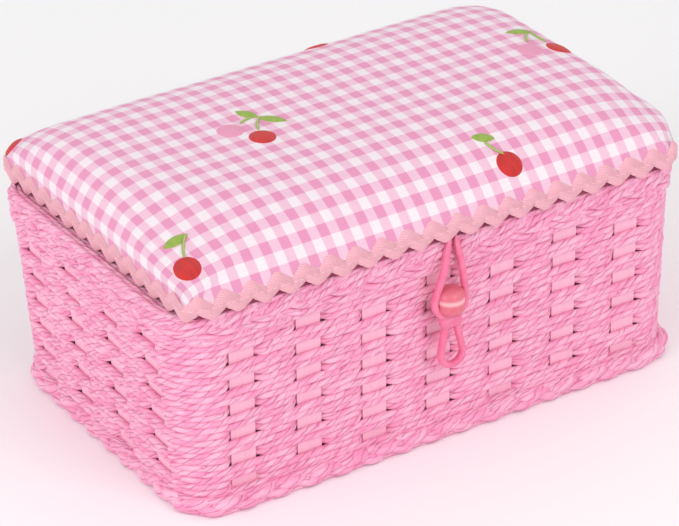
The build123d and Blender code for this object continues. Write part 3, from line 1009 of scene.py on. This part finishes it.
@dataclass(frozen=True)
class PaddedLid:
    """The lid's pad with gingham drawn over it, and the cloth under the lid."""

    corner: float = 0.008
    crown_corners: tuple[tuple[float, float], tuple[float, float]] = ((0.052, 0.022), (0.034, 0.022))
    skirt: float = 0.0070
    lift: float = 0.0030
    crown_drop: float = 0.0012
    left: Shoulder = Shoulder(14.0, 0.42, 0.0008)
    right: Shoulder = Shoulder(14.0, 0.36, 0.0032)
    front: Shoulder = Shoulder(4.8, 0.95, 0.0)
    back: Shoulder = Shoulder(4.6, 0.8, 0.0005)
    hem: float = 0.0007
    hem_rise: float = 0.0002
    skirt_rings: int = 4
    crown_rings: int = 44
    step: float = 0.0016
    braid_room: float = 0.0010
    pucker: float = 0.0006
    pucker_pitch: float = 0.02
    lump: float = 0.0003
    sag: float = 0.0006
    fill: float = 0.85
    round_start: float = 0.32
    round_span: float = 0.48
    inner_rise: float = 0.0003
    inner_swell: float = 0.0002

    def loop(self) -> RoundedLoop:
        """The lid's outline as a loop of core points."""
        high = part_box("ricrac_trim")[1]
        inset = self.braid_room + self.corner
        return RoundedLoop(high.x - inset, high.y - inset, self.corner)

    def profile(self) -> np.ndarray:
        """Left, right, front and back edge, height and the cloth's four flat reaches, from the hem in.

        Returns:
            One row for each ring.
        """
        low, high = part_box("lid_cover")
        outline = self.loop()
        length, depth = outline.half_length + self.corner, outline.half_depth + self.corner
        edge = low.z + self.skirt
        rise = np.sin(np.linspace(0, math.pi / 2, self.crown_rings))
        crown = [side.reach(length, rise) for side in (self.left, self.right)]
        crown += [side.reach(depth, rise) for side in (self.front, self.back)]
        crown.append(edge + (high.z - self.crown_drop - edge) * rise)
        hem_low = low.z + self.lift
        skirt_heights = np.linspace(hem_low + 2 * self.hem_rise, edge, self.skirt_rings, endpoint=False)
        below = [(self.hem, hem_low + self.hem_rise), (self.hem / 2, hem_low)]
        below += [(0.0, height) for height in skirt_heights]
        rows = [[length - inset, length - inset, depth - inset, depth - inset, z] for inset, z in below]
        rows = np.array([*rows, *np.stack(crown, axis=1)])
        steps = np.diff(rows, axis=0)
        flat = [np.cumsum(np.hypot(steps[::-1, i], steps[::-1, 4]))[::-1] for i in range(4)]
        return np.column_stack([rows, *[np.append(f, 0.0) for f in flat]])

    def growth_at(self, height: Any) -> Any:
        """Share of the way from the edge's corner rounds to the crown's at a height."""
        low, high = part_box("lid_cover")
        return np.clip(((height - low.z) / (high.z - low.z) - self.round_start) / self.round_span, 0, 1)

    def cloth_place(self, rows: np.ndarray, ring: np.ndarray, limits: list[float]) -> np.ndarray:
        """Places on the flat cloth, with each direction measured down the middle of its sides.

        Args:
            rows: The profile.
            ring: Points of one ring, seen from above.
            limits: The cloth's four flat reaches at that ring.

        Returns:
            One place for each point.
        """
        places = np.zeros_like(ring)
        for side, limit in enumerate(limits):
            axis, sign = side // 2, 1 if side % 2 else -1
            there = sign * ring[:, axis] > 0
            reach = np.maximum.accumulate(rows[::-1, side])
            measured = np.interp(sign * ring[there, axis], reach, rows[::-1, 5 + side])
            places[there, axis] = sign * np.minimum(measured, limit)
        return places

    def cushion(self) -> bpy.types.Object:
        """Makes the padded gingham top.

        Returns:
            The cushion.
        """
        outline = self.loop()
        stations = outline.stations(self.step)
        low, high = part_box("lid_cover")
        unit = stations.core[:, :2] / np.array([outline.half_length, outline.half_depth])
        way = stations.normal[:, :2]
        gathers = 4 * (way[:, 0] * way[:, 1]) ** 2 * np.sin(7 * math.pi * stations.travel / self.pucker_pitch)
        share = [np.column_stack([1 - unit[:, axis], 1 + unit[:, axis]]) / 2 for axis in range(2)]
        rows = self.profile()
        rings, places = [], []
        for left, right, front, back, height, *flat in rows:
            rise = (height - low.z) / (high.z - low.z)
            half = np.array([(left + right) / 2, (front + back) / 2])
            middle = np.array([(right - left) / 2, (back - front) / 2])
            growth = self.growth_at(height)
            rounds = self.corner + (np.array(self.crown_corners) - self.corner) * growth
            rounds = np.minimum(rounds, 0.98 * half.min())
            radius = np.sum((share[0] @ rounds) * share[1], axis=1)
            across = np.sum(share[0] * (share[1] @ rounds.T - half[0]) * [1, -1], axis=1)
            ahead = np.sum(share[1] * (share[0] @ rounds - half[1]) * [1, -1], axis=1)
            radius += self.pucker * gathers * max(0.0, 1 - 2 * rise)
            ring = middle + np.column_stack([across, ahead]) + way * radius[:, None]
            lumps = np.sin(ring[:, 0] * 61 + 1.3) * np.cos(ring[:, 1] * 53 + 0.4)
            lumps += np.sin(ring[:, 0] * 97 - ring[:, 1] * 71)
            level = height + (self.lump * lumps - self.sag) * max(0.0, rise - 0.5)
            extra = np.where(way > 0, [flat[1] - right, flat[3] - back], [flat[0] - left, flat[2] - front])
            rings.append(np.column_stack([ring, level]))
            places.append((ring + way * extra) * (1 - growth) + self.cloth_place(rows, ring, flat) * growth)
        mesh = PieceMesh()
        mesh.add_rings(rings, places)
        piece = mesh.piece("lid_cushion", Gingham("gingham"), Body.LID, "gingham", "lid_cover", "lid_pad")
        return piece

    def lean_at(self, stations: Stations, height: Any) -> np.ndarray:
        """How far the cushion's side lies beyond the lid's edge, or inside it where that is negative.

        Args:
            stations: Places round the lid's edge.
            height: Height, one or one for each station.

        Returns:
            One distance for each station.
        """
        rows = self.profile()[2:]
        way = stations.normal[:, :2]
        lean = np.zeros(len(way))
        for side in range(4):
            toward = np.clip(way[:, side // 2] * (1 if side % 2 else -1), 0, 1) ** 2
            lean += toward * np.interp(height, rows[:, 4], rows[:, side] - rows[0, side])
        growth = self.growth_at(height)
        rounds = np.array(self.crown_corners)[(way[:, 0] > 0).astype(int), (way[:, 1] > 0).astype(int)]
        return lean - (rounds - self.corner) * growth * (np.abs(way).sum(axis=1) - 1)

    def build(self) -> None:
        """Makes the lid's pieces."""
        cushion = self.cushion()
        ZigzagBraid().build(self)
        data = cushion.data
        surface = BVHTree.FromPolygons([v.co for v in data.vertices], [p.vertices for p in data.polygons])
        Embroidery(surface).build()
        inner = FlatCloth(
            "lid_inner_cloth", "lid_lining", Body.LID, held="stretched", rests_on="lid_board",
            corner=self.corner, swell=self.inner_swell,
        )
        inner.build(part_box("lid_lining")[0].z + self.inner_rise)


@dataclass(frozen=True)
class ZigzagBraid:
    """The zigzag braid round the lid's edge and the stitches that hold it."""

    pitch: float = 0.0120
    band: float = 0.0072
    swing: float = 0.0016
    slip: float = 0.22
    point: float = 0.08
    height: float = 0.0049
    thickness: float = 0.0006
    gap: float = 0.0001
    rows: int = 11
    step: float = 0.00062
    stitch_pitch: float = 0.0031
    stitch_length: float = 0.0023
    stitch_radius: float = 0.00017
    stitch_lift: float = 0.00012
    stitch_dip: tuple[float, ...] = (-0.0004, 0.0, 0.0001, 0.0, -0.0004)
    stitch_step: float = 0.0006

    def build(self, lid: PaddedLid) -> None:
        """Makes the braid in place of its CAD node, and the stitches.

        Args:
            lid: The lid that it is sewn to.
        """
        stations = lid.loop().stations(self.step)
        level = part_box("lid_cover")[0].z + self.height
        count = round(stations.length / self.pitch)
        turns = full_turn * count * stations.travel / stations.length
        wave = (np.sin(turns) - self.point * np.sin(3 * turns)) * self.swing
        bend = np.cos(turns) - 3 * self.point * np.cos(3 * turns)
        slope = bend * self.swing * full_turn * count / stations.length
        rings, places = [], []
        for share in np.linspace(-1, 1, self.rows):
            offset = share * self.band / 2
            height = level + offset + wave
            swell = self.thickness * math.sqrt(max(0.0, 1 - share**6))
            reach = lid.corner + self.gap + swell + lid.lean_at(stations, height)
            rings.append(stations.place(reach, height, -self.slip * slope * offset))
            places.append(np.stack([stations.travel, np.full_like(turns, offset)], axis=1))
        mesh = PieceMesh()
        mesh.add_rings(rings, places, stations.length)
        mesh.piece("zigzag_braid", RibbedBraid("braid"), Body.LID, "braid", "ricrac_trim")
        self.stitches(lid, level)

    def stitches(self, lid: PaddedLid, height: float) -> None:
        """Makes the row of stitches along the braid's middle.

        Args:
            lid: The lid that the braid is sewn to.
            height: Height of the row.
        """
        fine = lid.loop().stations(self.stitch_step)
        line = fine.place(lid.corner + self.thickness + self.stitch_lift + lid.lean_at(fine, height), height)
        dip = np.array(self.stitch_dip)
        mesh = PieceMesh()
        for start in np.arange(0.0, fine.length - self.stitch_pitch, self.stitch_pitch):
            marks = start + np.linspace(0, self.stitch_length, len(dip))
            path, normal = (
                np.stack([np.interp(marks, fine.travel, values[:, i]) for i in range(3)], axis=1)
                for values in (line, fine.normal)
            )
            mesh.add_tube(path + normal * dip[:, None], normal, self.stitch_radius, 6, closed=False)
        finish = SilkThread("stitch_thread", "FFDDE2", "FBC3CC", thread=0.5, relief=0.00001)
        mesh.piece("braid_stitches", finish, Body.LID, "braid")


@dataclass(frozen=True)
class PhotoCamera:
    """The camera at the photograph's angle."""

    place: Spot = (-0.68866, -1.16890, 0.79079)
    azimuth: float = math.radians(-30.43)
    elevation: float = math.radians(28.68)
    roll: float = math.radians(-2.42)
    focal_pixels: float = 3640.0
    image_pixels: Place = (679.0, 526.0)
    sensor: float = 36.0
    clip_end: float = 20.0

    def pose(self) -> Matrix:
        """Place and turn of the camera.

        Returns:
            The matrix from the camera's own axes to the frame's.
        """
        pose = Matrix.Translation(self.place)
        for angle, axis in ((self.azimuth, "Z"), (math.pi / 2 - self.elevation, "X"), (self.roll, "Z")):
            pose = pose @ Matrix.Rotation(angle, 4, axis)
        return pose

    def sight(self, pixel: Place) -> Vector:
        """The way that the camera looks through a pixel of the photograph."""
        across, down = (place - size / 2 for place, size in zip(pixel, self.image_pixels))
        return (self.pose().to_3x3() @ Vector((across, -down, -self.focal_pixels))).normalized()

    def build(self) -> None:
        """Sets the camera."""
        data = bpy.data.cameras.new("photo_camera")
        data.sensor_fit = "HORIZONTAL"
        data.sensor_width = self.sensor
        data.lens = self.focal_pixels * self.sensor / self.image_pixels[0]
        data.clip_end = self.clip_end
        camera = bpy.data.objects.new("photo_camera", data)
        camera.matrix_world = self.pose()
        bpy.context.scene.collection.objects.link(camera)
        bpy.context.scene.camera = camera


@dataclass(frozen=True)
class Sprig:
    """One embroidered sprig, by the pixels where the photograph shows its cherries, stems and leaves."""

    cherry_pixels: tuple[Place, ...]
    stem_pixels: tuple[tuple[Place, Place], ...] = ()
    leaf_pixels: tuple[tuple[Place, Place], ...] = ()
    pale_pixels: tuple[Place, ...] = ()


@dataclass(frozen=True)
class Embroidery:
    """Raised cherries, stems and leaves in satin stitch on the cushion."""

    surface: BVHTree
    cherry_sizes: tuple[float, float] = (0.0058, 0.0064)
    leaf_width: float = 0.0056
    leaf_blunt: float = 0.6
    patch_rise: float = 0.0009
    patch_sink: float = 0.0001
    patch_rings: int = 8
    patch_spokes: int = 36
    stem_radius: float = 0.0006
    stem_lift: float = 0.0003
    stem_bow: float = 0.08
    stem_points: int = 12
    sight_reaches: Spot = (0.9, 1.9, 0.002)
    sprigs: tuple[Sprig, ...] = (
        Sprig(
            cherry_pixels=((187.2, 268.5),),
            stem_pixels=(((184.7, 258.5), (186.7, 233.5)),),
            leaf_pixels=(((188.0, 233.0), (162.5, 250.3)),),
        ),
        Sprig(
            cherry_pixels=((262.5, 136.7),),
            stem_pixels=(((258.7, 130.2), (259.5, 118.5)), ((240.3, 124.0), (252.0, 118.0))),
            leaf_pixels=(((259.0, 117.5), (234.5, 111.3)), ((256.0, 117.0), (287.8, 120.8))),
            pale_pixels=((230.3, 130.8),),
        ),
        Sprig(
            cherry_pixels=((509.5, 163.7),),
            stem_pixels=(((504.2, 154.5), (484.0, 142.3)),),
            leaf_pixels=(((495.5, 138.5), (470.0, 137.0)),),
        ),
        Sprig(
            cherry_pixels=((559.0, 47.8),),
            stem_pixels=(((546.0, 42.0), (531.0, 32.8)), ((527.8, 42.0), (527.0, 34.5))),
            leaf_pixels=(((534.5, 32.8), (504.5, 32.8)),),
            pale_pixels=((530.3, 49.5),),
        ),
        Sprig(cherry_pixels=((316.0, 47.0),)),
        Sprig(cherry_pixels=((12.0, 146.0),)),
    )

    def place(self, pixel: Place) -> Place:
        """Place on the cushion, seen from above, that the photograph shows at a pixel.

        Args:
            pixel: Pixels across and down. Past the cushion's outline, its nearest point counts.

        Returns:
            The place.
        """
        camera = PhotoCamera()
        start, way = Vector(camera.place), camera.sight(pixel)
        spot = self.surface.ray_cast(start, way)[0]
        if spot is None:
            reaches = np.arange(*self.sight_reaches)
            found = [self.surface.find_nearest(start + way * reach) for reach in reaches]
            spot = min(found, key=lambda near: near[3])[0]
        return spot.x, spot.y

    def build(self) -> None:
        """Makes one piece for each colour of thread."""
        fruit, pale, leaves, stems = PieceMesh(), PieceMesh(), PieceMesh(), PieceMesh()
        for sprig in self.sprigs:
            for mesh, pixels in ((fruit, sprig.cherry_pixels), (pale, sprig.pale_pixels)):
                for place in map(self.place, pixels):
                    self.patch(mesh, (place, (place[0] + 1.0, place[1])), self.cherry_sizes, 1.0)
            for ends in sprig.stem_pixels:
                self.stem(stems, *map(self.place, ends))
            for ends in sprig.leaf_pixels:
                line = [self.place(pixel) for pixel in ends]
                middle = tuple(sum(c) / 2 for c in zip(*line))
                size = (math.dist(*line) / 2, self.leaf_width / 2)
                self.patch(leaves, (middle, line[1]), size, self.leaf_blunt)
        stem_silk = SilkThread("stem_thread", "B8C878", "90AA54", thread=0.25, relief=0.00003)
        threads = [
            ("cherry_fruit", fruit, SilkThread("red_thread")),
            ("cherry_pale_fruit", pale, SilkThread("pink_thread", "FFB2D0", "FF9EC4")),
            ("cherry_leaves", leaves, SilkThread("green_thread", "B6CE5C", "86A93A")),
            ("cherry_stems", stems, stem_silk),
        ]
        for name, mesh, finish in threads:
            mesh.piece(name, finish, Body.LID, "gingham")

    def patch(self, mesh: PieceMesh, line: tuple[Place, Place], size: Place, blunt: float) -> None:
        """Adds one raised patch of satin stitch that follows the cushion.

        Args:
            mesh: The piece that the patch goes into.
            line: The patch's middle, seen from above, and a place that its length points to.
            size: Half-length and half-width.
            blunt: 1 for a round patch, less for one with pointed ends.
        """
        spot, normal = self.landing(line[0])
        level = Vector((line[1][0] - line[0][0], line[1][1] - line[0][1], 0.0))
        aside = normal.cross(level).normalized()
        ahead = aside.cross(normal)
        share = np.linspace(1, 0, self.patch_rings)
        angle = np.arange(self.patch_spokes + 1) * full_turn / self.patch_spokes
        along = np.cos(angle)[:, None] * share * size[0]
        across = squared(np.sin(angle), 1 / blunt)[:, None] * share * size[1]
        lift = self.patch_rise * (1 - share**3) - self.patch_sink
        points = np.zeros((self.patch_spokes, self.patch_rings, 3))
        for i, j in np.ndindex(points.shape[:2]):
            points[i, j] = self.lifted(spot + ahead * along[i, j] + aside * across[i, j], lift[j])
        mesh.add_grid(points, np.stack([along, across], axis=-1), wrap_rows=True)

    def landing(self, place: Place) -> tuple[Vector, Vector]:
        """Point of the cushion under a place seen from above, and the way out there."""
        spot, normal, _, _ = self.surface.ray_cast(Vector((*place, 1.0)), Vector((0, 0, -1)))
        return spot, normal if normal.z > 0 else -normal

    def lifted(self, place: Vector, lift: float) -> Vector:
        """Point of the cushion nearest to a place, lifted along the way out there."""
        spot, normal, _, _ = self.surface.find_nearest(place)
        return spot + normal * (lift if normal.z > 0 else -lift)

    def stem(self, mesh: PieceMesh, start: Place, end: Place) -> None:
        """Adds one bowed stem from a cherry to a leaf.

        Args:
            mesh: The piece that the stem goes into.
            start: Where it leaves the cherry.
            end: Where it meets the leaf.
        """
        share = np.linspace(0, 1, self.stem_points)[:, None]
        ends = [np.array(self.landing(place)[0]) for place in (start, end)]
        bow = np.cross([0.0, 0.0, 1.0], ends[1] - ends[0]) * self.stem_bow
        line = ends[0] + (ends[1] - ends[0]) * share + bow * np.sin(math.pi * share)
        path = np.array([self.lifted(Vector(place), self.stem_lift) for place in line])
        radius = self.stem_radius * np.sqrt(1.02 - np.abs(2 * share[:, 0] - 1) ** 8)
        mesh.add_tube(path, np.tile([0.0, 0.0, 1.0], (len(path), 1)), radius, 8, closed=False)


@dataclass(frozen=True)
class Closure:
    """The soft loop, its pull and the bead that it goes over."""

    band: float = 0.0014
    band_flatten: float = 1.2
    band_power: float = 0.75
    loop_radius: float = 0.0075
    hang_in: float = 0.0014
    lean: float = 0.0044
    lean_power: float = 1.2
    neck_radius: float = 0.0009
    top_height: float = 0.0970
    tuck_height: float = 0.0952
    tuck_in: float = 0.0014
    bend_height: float = 0.0885
    slope_height: float = 0.0810
    tucked_band: float = 0.0005
    pull_radius: float = 0.0053
    pull_neck_radius: float = 0.0027
    collar: Spot = (0.0050, 0.0021, 0.0026)
    collar_power: float = 0.45
    collar_overlap: float = 0.0006
    bead_radius: float = 0.0060
    bead_half_height: float = 0.0058
    bead_lift: float = 0.0020
    stem_radius: float = 0.0022
    stem_start: float = 0.003
    stem_sink: float = 0.004
    step: float = 0.0006

    def drop(
        self, top: float, top_radius: float, low: float, low_radius: float
    ) -> tuple[np.ndarray, np.ndarray]:
        """Closed drop-shaped line, a small round above a large one.

        Args:
            top: Height of the small round's middle.
            top_radius: Its radius.
            low: Height of the large round's middle.
            low_radius: Its radius.

        Returns:
            Points across and up, and the ways out.
        """
        lean = math.asin((low_radius - top_radius) / (top - low))
        rounds = [
            (top, top_radius, lean, math.pi - lean),
            (low, low_radius, math.pi - lean, full_turn + lean),
        ]
        points, ways = [], []
        for height, radius, start, end in rounds:
            angle = np.linspace(start, end, max(8, round(radius * (end - start) / self.step)))
            ways.append(np.stack([np.cos(angle), np.sin(angle)], axis=1))
            points.append(ways[-1] * radius + [0.0, height])
        run = max(4, round((top - low) / self.step))
        share = (np.arange(run - 1) + 1)[:, None] / run
        line, out = [], []
        for here, there in ((0, 1), (1, 0)):
            leave, arrive = points[here][-1], points[there][0]
            line += [points[here], leave + (arrive - leave) * share]
            out += [ways[here], np.repeat(ways[here][-1:], run - 1, axis=0)]
        return np.concatenate(line), np.concatenate(out)

    def band_loop(self, mesh: PieceMesh, line: np.ndarray, ways: np.ndarray, out: Any, radius: Any) -> None:
        """Adds a rounded band along a closed line in front of the wall.

        Args:
            mesh: The piece that it goes into.
            line: Points across and up.
            ways: The ways out in the line's plane.
            out: Place along Y, one or one for each point.
            radius: One radius, or one for each point.
        """
        path = np.column_stack([line[:, 0], np.broadcast_to(out, len(line)), line[:, 1]])
        outward = np.column_stack([ways[:, 0], np.zeros(len(ways)), ways[:, 1]])
        mesh.add_tube(path, outward, radius, 14, flatten=self.band_flatten, power=self.band_power)

    def build(self) -> None:
        """Makes the loop and the bead in place of their CAD nodes."""
        low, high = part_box("closure_loop")
        bead_low, bead_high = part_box("closure_bead")
        bead_z = (bead_low.z + bead_high.z) / 2 + self.bead_lift
        hang_y = low.y + (high.y - low.y) / 2 + self.hang_in
        lid_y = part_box("ricrac_trim")[0].y
        mesh = PieceMesh()
        line, ways = self.drop(self.top_height, self.neck_radius, bead_z, self.loop_radius)
        rise = np.clip((line[:, 1] - bead_z) / (self.top_height - bead_z), 0, None)
        line[:, 0] += self.lean * rise**self.lean_power
        slope = smooth(line[:, 1], self.slope_height, self.tuck_height)
        out = hang_y + (lid_y + self.tuck_in - hang_y) * slope
        share = np.clip((line[:, 1] - self.bend_height) / (self.tuck_height - self.bend_height), 0, 1)
        self.band_loop(mesh, line, ways, out, self.band + (self.tucked_band - self.band) * share**3)
        collar_z = bead_z - self.loop_radius - self.collar[2] + self.collar_overlap
        pull_z = low.z + self.band + self.pull_radius
        line, ways = self.drop(collar_z - self.collar[2], self.pull_neck_radius, pull_z, self.pull_radius)
        self.band_loop(mesh, line, ways, hang_y, self.band)
        self.rounded_block(mesh, Vector((0, hang_y, collar_z)))
        finish = SoftPlastic("loop_plastic")
        piece = mesh.piece("closure_band", finish, None, "loop_plastic", "closure_loop", "closure_staple")
        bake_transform(piece)
        self.bead(Vector((0, bead_low.y + self.bead_radius, bead_z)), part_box("weave_front")[0].y)

    def rounded_block(self, mesh: PieceMesh, middle: Vector) -> None:
        """Adds the collar, a block with soft edges.

        Args:
            mesh: The piece that it goes into.
            middle: Its middle.
        """
        rise = np.linspace(-math.pi / 2, math.pi / 2, 17)
        turn = np.linspace(0, full_turn, 33)
        girth, tall = (squared(f(rise), self.collar_power) for f in (np.cos, np.sin))
        wide, deep = (squared(f(turn), self.collar_power)[:, None] * girth for f in (np.cos, np.sin))
        form = np.stack([wide, deep, np.broadcast_to(tall, wide.shape)], axis=-1)
        places = np.stack(np.meshgrid(turn, rise, indexing="ij"), axis=-1)
        mesh.add_grid(np.array(middle) + form[:-1] * self.collar, places, wrap_rows=True)

    def bead(self, middle: Vector, wall_y: float) -> None:
        """Makes the barrel-shaped bead and its stem.

        Args:
            middle: The bead's middle.
            wall_y: Where the wall's face is.
        """
        rise = np.linspace(-1, 1, 33)
        turn = np.linspace(0, full_turn, 49)
        girth = (1 - np.abs(rise) ** 4.5) ** 0.36
        wide, deep = (f(turn)[:, None] * girth for f in (np.cos, np.sin))
        form = np.stack([wide, deep, np.broadcast_to(rise, wide.shape)], axis=-1)
        places = np.stack(np.meshgrid(turn, rise, indexing="ij"), axis=-1)
        half = (self.bead_radius, self.bead_radius, self.bead_half_height)
        mesh = PieceMesh()
        mesh.add_grid(np.array(middle) + form[:-1] * half, places, wrap_rows=True)
        reach = np.linspace(middle.y + self.stem_start, wall_y + self.stem_sink, 6)
        stem = np.array([[middle.x, y, middle.z] for y in reach])
        mesh.add_tube(stem, np.tile([1.0, 0.0, 0.0], (len(stem), 1)), self.stem_radius, 16, closed=False)
        # The bead's pale band is a painted highlight.
        finish = HighlightedPlastic("bead_plastic", "EE8092", "D6627A", rough=0.12, glow=0.3)
        mesh.piece("closure_bead_barrel", finish, Body.BASKET, "bead_plastic", "closure_bead")


@dataclass(frozen=True)
class Interior:
    """The cloth on the walls and the floor of the basket."""

    inset: float = 0.0069
    fold: Wobble = Wobble(25, 70, 0.00032)
    floor_gap: float = 0.0016
    levels: int = 16
    step: float = 0.0025
    seed: int = 5
    floor_corner: float = 0.0115
    floor_swell: float = 0.0003

    def wall_cloth(self, wall: WovenWall) -> None:
        """Makes the cloth on the walls, with soft upright folds.

        Args:
            wall: The wall that it lines.
        """
        low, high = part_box("side_lining")
        loop = wall.loop()
        stations = loop.stations(self.step)
        folds = stations.wobble(np.random.default_rng(self.seed), self.fold)
        rings, places = [], []
        for share in np.linspace(0, 1, self.levels):
            height = low.z + self.floor_gap + (high.z - low.z - self.floor_gap) * share
            full = math.sin(math.pi * min(1.0, 0.15 + share * 0.7))
            rings.append(stations.place(wall.reach(height) - self.inset + folds * full, height))
            places.append(np.stack([stations.travel, np.full_like(stations.travel, height)], axis=1))
        mesh = PieceMesh()
        mesh.add_rings(rings, places, stations.length)
        finish = PlainCloth("lining_cloth")
        piece = mesh.piece("wall_cloth", finish, Body.BASKET, "lining_cloth", "side_lining")

    def build(self, wall: WovenWall) -> None:
        """Makes the cloths of the basket.

        Args:
            wall: The wall that they line.
        """
        self.wall_cloth(wall)
        low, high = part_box("base_lining")
        floor = FlatCloth(
            "floor_cloth", "base_lining", Body.BASKET, held="laid", rests_on="base_board",
            corner=self.floor_corner, swell=self.floor_swell,
        )
        floor.build((low.z + high.z) / 2)


@dataclass(frozen=True)
class Fittings:
    """The CAD pieces that keep their shape and get a finish, and the smooth hinge rings."""

    wire: float = 0.0009
    ring_points: int = 64

    def rings(self) -> None:
        """Makes each hinge ring a round wire."""
        turn = np.arange(self.ring_points) * full_turn / self.ring_points
        way = np.column_stack([0 * turn, np.cos(turn), np.sin(turn)])
        for node in ("hinge_ring_left", "hinge_ring_right"):
            low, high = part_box(node)
            radius = (high.y - low.y) / 2 - self.wire
            mesh = PieceMesh()
            mesh.add_tube(np.array((low + high) / 2) + way * radius, way, self.wire, 14)
            mesh.piece(f"{node}_wire", CoatedWire("hinge_wire"), Body.BASKET, "hinge_wire", node)

    def build(self) -> None:
        """Makes the rings and gives the CAD nodes their finishes."""
        self.rings()
        ledge = SoftPlastic("ledge_plastic", "F6C6D6", "EFB0C6", rough=0.5, glow=0.1)
        finishes = {
            FlatStrip("flat_stake"): [f"stakes_{wall}" for wall in ("front", "right", "back", "left")],
            PressedBoard("board"): ["base_board"],
            # The lid board's deep maroon is painted shade: it darkens the gap behind the braid's notches.
            PressedBoard("lid_board", "A83060", "841E48"): ["lid_board"],
            SoftPlastic("tray_plastic", "F9D3DF", "F3BCCF", rough=0.35, glow=0.1): ["tray"],
            ledge: ["tray_ledge_left", "tray_ledge_right"],
            CoatedWire("hinge_wire"): ["bead_washer"],
        }
        for finish, nodes in finishes.items():
            for node in nodes:
                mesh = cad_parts[node].data
                mesh.materials.clear()
                mesh.materials.append(finish.material())


@dataclass(frozen=True)
class Studio:
    """Floor, soft light and the camera."""

    floor_size: float = 6.0
    sky: float = 0.73
    lamp_size: float = 1.2
    lamp_aim: Spot = (0.0, 0.0, 0.05)
    key_place: Spot = (0.3, -1.8, 1.4)
    key_power: float = 12.3
    fill_place: Spot = (-1.9, -0.4, 1.0)
    fill_power: float = 12.0

    def floor(self) -> None:
        """Lays the plain floor."""
        half = self.floor_size / 2
        corners = [(-half, -half, 0), (half, -half, 0), (half, half, 0), (-half, half, 0)]
        mesh = bpy.data.meshes.new("floor")
        mesh.from_pydata(corners, [], [(0, 1, 2, 3)])
        mesh.materials.append(StudioFloor("floor").material())
        floor = bpy.data.objects.new("floor", mesh)
        bpy.context.scene.collection.objects.link(floor)

    def world(self) -> None:
        """Lights the scene evenly from all round, white where the camera sees past the floor."""
        world = bpy.data.worlds.new("studio")
        world.use_nodes = True
        world.node_tree.nodes.clear()
        graph = Graph(world.node_tree)
        light, white = (graph.add("Background", {0: (1, 1, 1, 1), 1: power}) for power in (self.sky, 1.0))
        rays = graph.add("LightPath").outputs
        clear = graph.math("MAXIMUM", rays["Is Glossy Ray"], rays["Is Transmission Ray"])
        seen = graph.math("MAXIMUM", rays["Is Camera Ray"], clear)
        mix = graph.add("MixShader", {0: seen, 1: light.outputs[0], 2: white.outputs[0]})
        graph.add("OutputWorld", {0: mix.outputs[0]})
        bpy.context.scene.world = world

    def lamp(self, name: str, place: Spot, power: float) -> None:
        """Adds one soft lamp that points at the box.

        Args:
            name: The lamp's name.
            place: Where it stands.
            power: Its power in watts.
        """
        data = bpy.data.lights.new(name, "AREA")
        data.size = self.lamp_size
        data.energy = power
        lamp = bpy.data.objects.new(name, data)
        aim = Vector(self.lamp_aim) - Vector(place)
        lamp.matrix_world = Matrix.Translation(place) @ aim.to_track_quat("-Z", "Y").to_matrix().to_4x4()
        bpy.context.scene.collection.objects.link(lamp)

    def build(self) -> None:
        """Makes the stage."""
        PhotoCamera().build()
        self.floor()
        self.world()
        self.lamp("key", self.key_place, self.key_power)
        self.lamp("fill", self.fill_place, self.fill_power)
        bpy.context.scene.view_settings.view_transform = "Standard"


def main() -> None:
    """Builds the dressed box."""
    logging.basicConfig(level=logging.INFO, format="%(name)s: %(message)s")
    Studio().build()
    wall = WovenWall()
    wall.build()
    thin, thick = PaperCord("paper_cord"), PaperCord("thick_paper_cord", turn=0.024, ridges=4.0)
    rim = PlaitedBorder(
        "rim_plait", "top_border", thin, sway=0.0034, depth=0.0010, pitch=0.052, cord_radius=0.0015,
        row_radius=0.0016, row_depth=0.0014, rows=5, cap_sink=0.0017, pair_gap=0.0015,
    )
    foot = PlaitedBorder(
        "foot_plait", "foot_border", thick, sway=0.0018, depth=0.0018, pitch=0.044, cord_radius=0.0022,
        row_radius=0.0015, row_depth=0.0022, rows=3, cap_sink=0.0002, left_tuck=0.0024,
    )
    rim.build(wall)
    foot.build(wall)
    PaddedLid().build()
    Closure().build()
    Interior().build(wall)
    Fittings().build()


if __name__ == "__main__":
    main()
